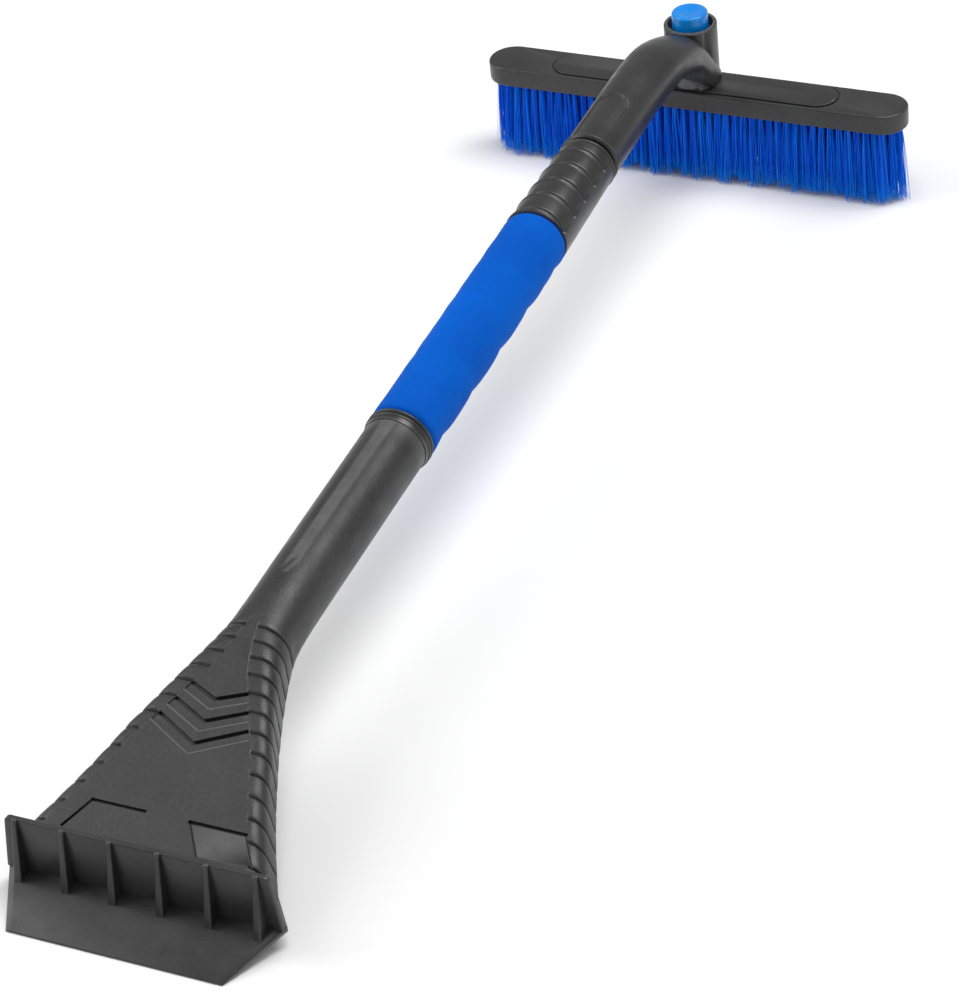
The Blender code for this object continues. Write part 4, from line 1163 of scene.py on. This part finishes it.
def make_brush_plate():
    length = PLATE_HIGH[0] - PLATE_LOW[0]
    width = PLATE_HIGH[1] - PLATE_LOW[1]
    plate = prism("brush_back", stadium(length, width), PLATE_LOW[2], PLATE_TOP)
    soften(plate, 1.3 * MM, 5, 60.0)
    moat = stadium(PANEL_LENGTH + 2.0 * MOAT, PANEL_WIDTH + 2.0 * MOAT)
    cut(plate, prism("moat", moat, PLATE_TOP - 0.5 * MM, PLATE_TOP + 2.0 * MM))
    panel = prism("panel", stadium(PANEL_LENGTH, PANEL_WIDTH), PLATE_TOP - 2.0 * MM, PLATE_HIGH[2])
    join(plate, soften(panel, 0.5 * MM, 4, 60.0))
    inner = stadium(length - 2.0 * PLATE_WALL, width - 2.0 * PLATE_WALL)
    cut(plate, prism("hollow", inner, PLATE_LOW[2] - 5.0 * MM, PLATE_TOP - PLATE_WALL))
    for x in (-HUB_SCREW_X, HUB_SCREW_X):
        cut(plate, cylinder("hole", 1.8 * MM, 50.0 * MM, 62.0 * MM, move(x), 24))
    shade(plate)
    stand_for(plate, "head", "black_plastic", "brush_plate")


TUFT_PITCH = 5.0 * MM
FIBRES_IN_TUFT = 44
ROOT_RADIUS = 1.6 * MM
TIP_SPREAD = 3.0 * MM
FIBRE_RADIUS = 0.20 * MM
END_SPLAY = 1.6 * MM              # how far the tips lean out at the brush's ends
SIDE_SPLAY = 1.4 * MM             # and at its sides
MEAN_LOSS = 1.7 * MM              # how much shorter than the longest a fibre is
GREATEST_LOSS = 7.5 * MM


def scatter(draw, x, y):
    """A random step, with its spread in X and in Y given in millimetres."""
    return Vector((draw.gauss(0.0, x), draw.gauss(0.0, y), 0.0)) * MM


def fibre_path(root, tip, bow, levels):
    """Points down one fibre from its root to its tip, with a slight bow."""
    return [root.lerp(tip, level) + bow * level * (1.0 - level) * 4.0 for level in levels]


def make_bristle_row(number, draw):
    """One row of tufts, every fibre a thin three-sided stalk with its own length."""
    low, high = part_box(f"bristle_row_{number}")
    row_y = (low[1] + high[1]) / 2.0
    root_z = high[2]
    half_length = high[0] - 1.5 * MM
    half_width = PLATE_HIGH[1] - PLATE_WALL
    tufts = int(2.0 * half_length / TUFT_PITCH)
    pitch = 2.0 * half_length / tufts
    offset = 0.25 if number % 2 else -0.25
    levels = (0.0, 0.35, 0.72, 1.0)
    vertices = []
    faces = []
    for tuft in range(tufts + 1):
        tuft_x = -half_length + tuft * pitch + offset * pitch
        tuft_x = min(half_length, max(-half_length, tuft_x))
        clump = scatter(draw, 0.7, 0.5)
        shortened = max(0.0, draw.gauss(0.9, 1.8)) * MM
        for _ in range(FIBRES_IN_TUFT):
            angle = draw.uniform(0.0, 2.0 * math.pi)
            away = math.sqrt(draw.random())
            aim = Vector((math.cos(angle), math.sin(angle), 0.0)) * away
            root = Vector((tuft_x, row_y, root_z)) + aim * ROOT_RADIUS
            splay = Vector((END_SPLAY * (tuft_x / half_length) ** 5, SIDE_SPLAY * row_y / half_width, 0.0))
            length_loss = min(GREATEST_LOSS, shortened + draw.expovariate(1.0 / MEAN_LOSS))
            stray = scatter(draw, 0.8, 0.6)
            tip = root + aim * (TIP_SPREAD - ROOT_RADIUS) + splay + clump + stray
            tip.z = length_loss
            bow = scatter(draw, 0.35, 0.35)
            start = len(vertices)
            turn = draw.uniform(0.0, 2.0 * math.pi)
            for level, centre in zip(levels, fibre_path(root, tip, bow, levels)):
                radius = FIBRE_RADIUS * (1.0 - 0.45 * level)
                for corner in range(3):
                    spin = turn + corner * 2.0 * math.pi / 3.0
                    side = Vector((math.cos(spin), math.sin(spin), 0.0))
                    vertices.append(centre + side * radius)
            for face in tube_faces(len(levels), 3):
                faces.append(tuple(start + index for index in reversed(face)))
    row = new_piece(f"bristle_tufts_{number}", vertices, faces, 80.0)
    stand_for(row, "head", "blue_bristle", f"bristle_row_{number}")


def make_bristles():
    draw = random.Random(27)
    rows = [node for node in frame["nodes"] if node.startswith("bristle_row_")]
    for number in range(1, len(rows) + 1):
        make_bristle_row(number, draw)


# ---------------- floor, light and camera
def make_floor():
    floor = new_piece("floor", [(-6.0, -6.0, 0.0), (6.0, -6.0, 0.0), (6.0, 6.0, 0.0), (-6.0, 6.0, 0.0)],
                      [(0, 1, 2, 3)])
    floor.location.z = -0.2 * MM
    floor.data.materials.append(pale_floor())


def add_light(name, location, target, size, watts):
    data = bpy.data.lights.new(name, "AREA")
    data.shape = "RECTANGLE"
    data.size, data.size_y = size
    data.energy = watts
    light = add_object(name, data)
    light.location = location
    light.rotation_euler = (Vector(target) - Vector(location)).to_track_quat("-Z", "Y").to_euler()


def make_lights():
    centre = (0.0, -0.35, 0.05)
    add_light("overhead_softbox", (0.40, 0.05, 1.70), centre, (0.7, 1.5), 24.0)
    add_light("left_softbox", (-1.3, -0.7, 1.0), centre, (0.9, 1.4), 12.0)
    add_light("right_strip", (1.5, -0.2, 0.6), centre, (0.25, 1.6), 2.5)
    world = bpy.data.worlds.new("studio")
    world.use_nodes = True
    background = world.node_tree.nodes["Background"]
    background.inputs["Color"].default_value = (1.0, 1.0, 1.0, 1.0)
    background.inputs["Strength"].default_value = 0.42
    bpy.context.scene.world = world
    bpy.context.scene.view_settings.view_transform = "Standard"


CAMERA_PLACE = Vector((0.6670, -1.5590, 0.9760))
CAMERA_TARGET = Vector((0.0509, -0.4038, 0.0600))
CAMERA_ROLL = math.radians(-6.573)
CAMERA_LENS = 124.89              # focal length in millimetres


def make_camera():
    data = bpy.data.cameras.new("camera")
    data.lens = CAMERA_LENS
    data.sensor_width = 36.0
    data.clip_end = 20.0
    camera = add_object("camera", data)
    aim = (CAMERA_TARGET - CAMERA_PLACE).to_track_quat("-Z", "Y").to_matrix().to_4x4()
    roll = Matrix.Rotation(CAMERA_ROLL, 4, "Z")
    camera.matrix_world = Matrix.Translation(CAMERA_PLACE) @ aim @ roll
    bpy.context.scene.camera = camera


dress_cad_nodes()
make_scraper_head()
make_back_cover()
make_screws()
make_ice_blade()
make_foam_grip()
make_grip_end_ring()
make_collar()
make_neck()
make_button()
make_button_spring()
make_brush_plate()
make_bristles()
make_floor()
make_lights()
make_camera()
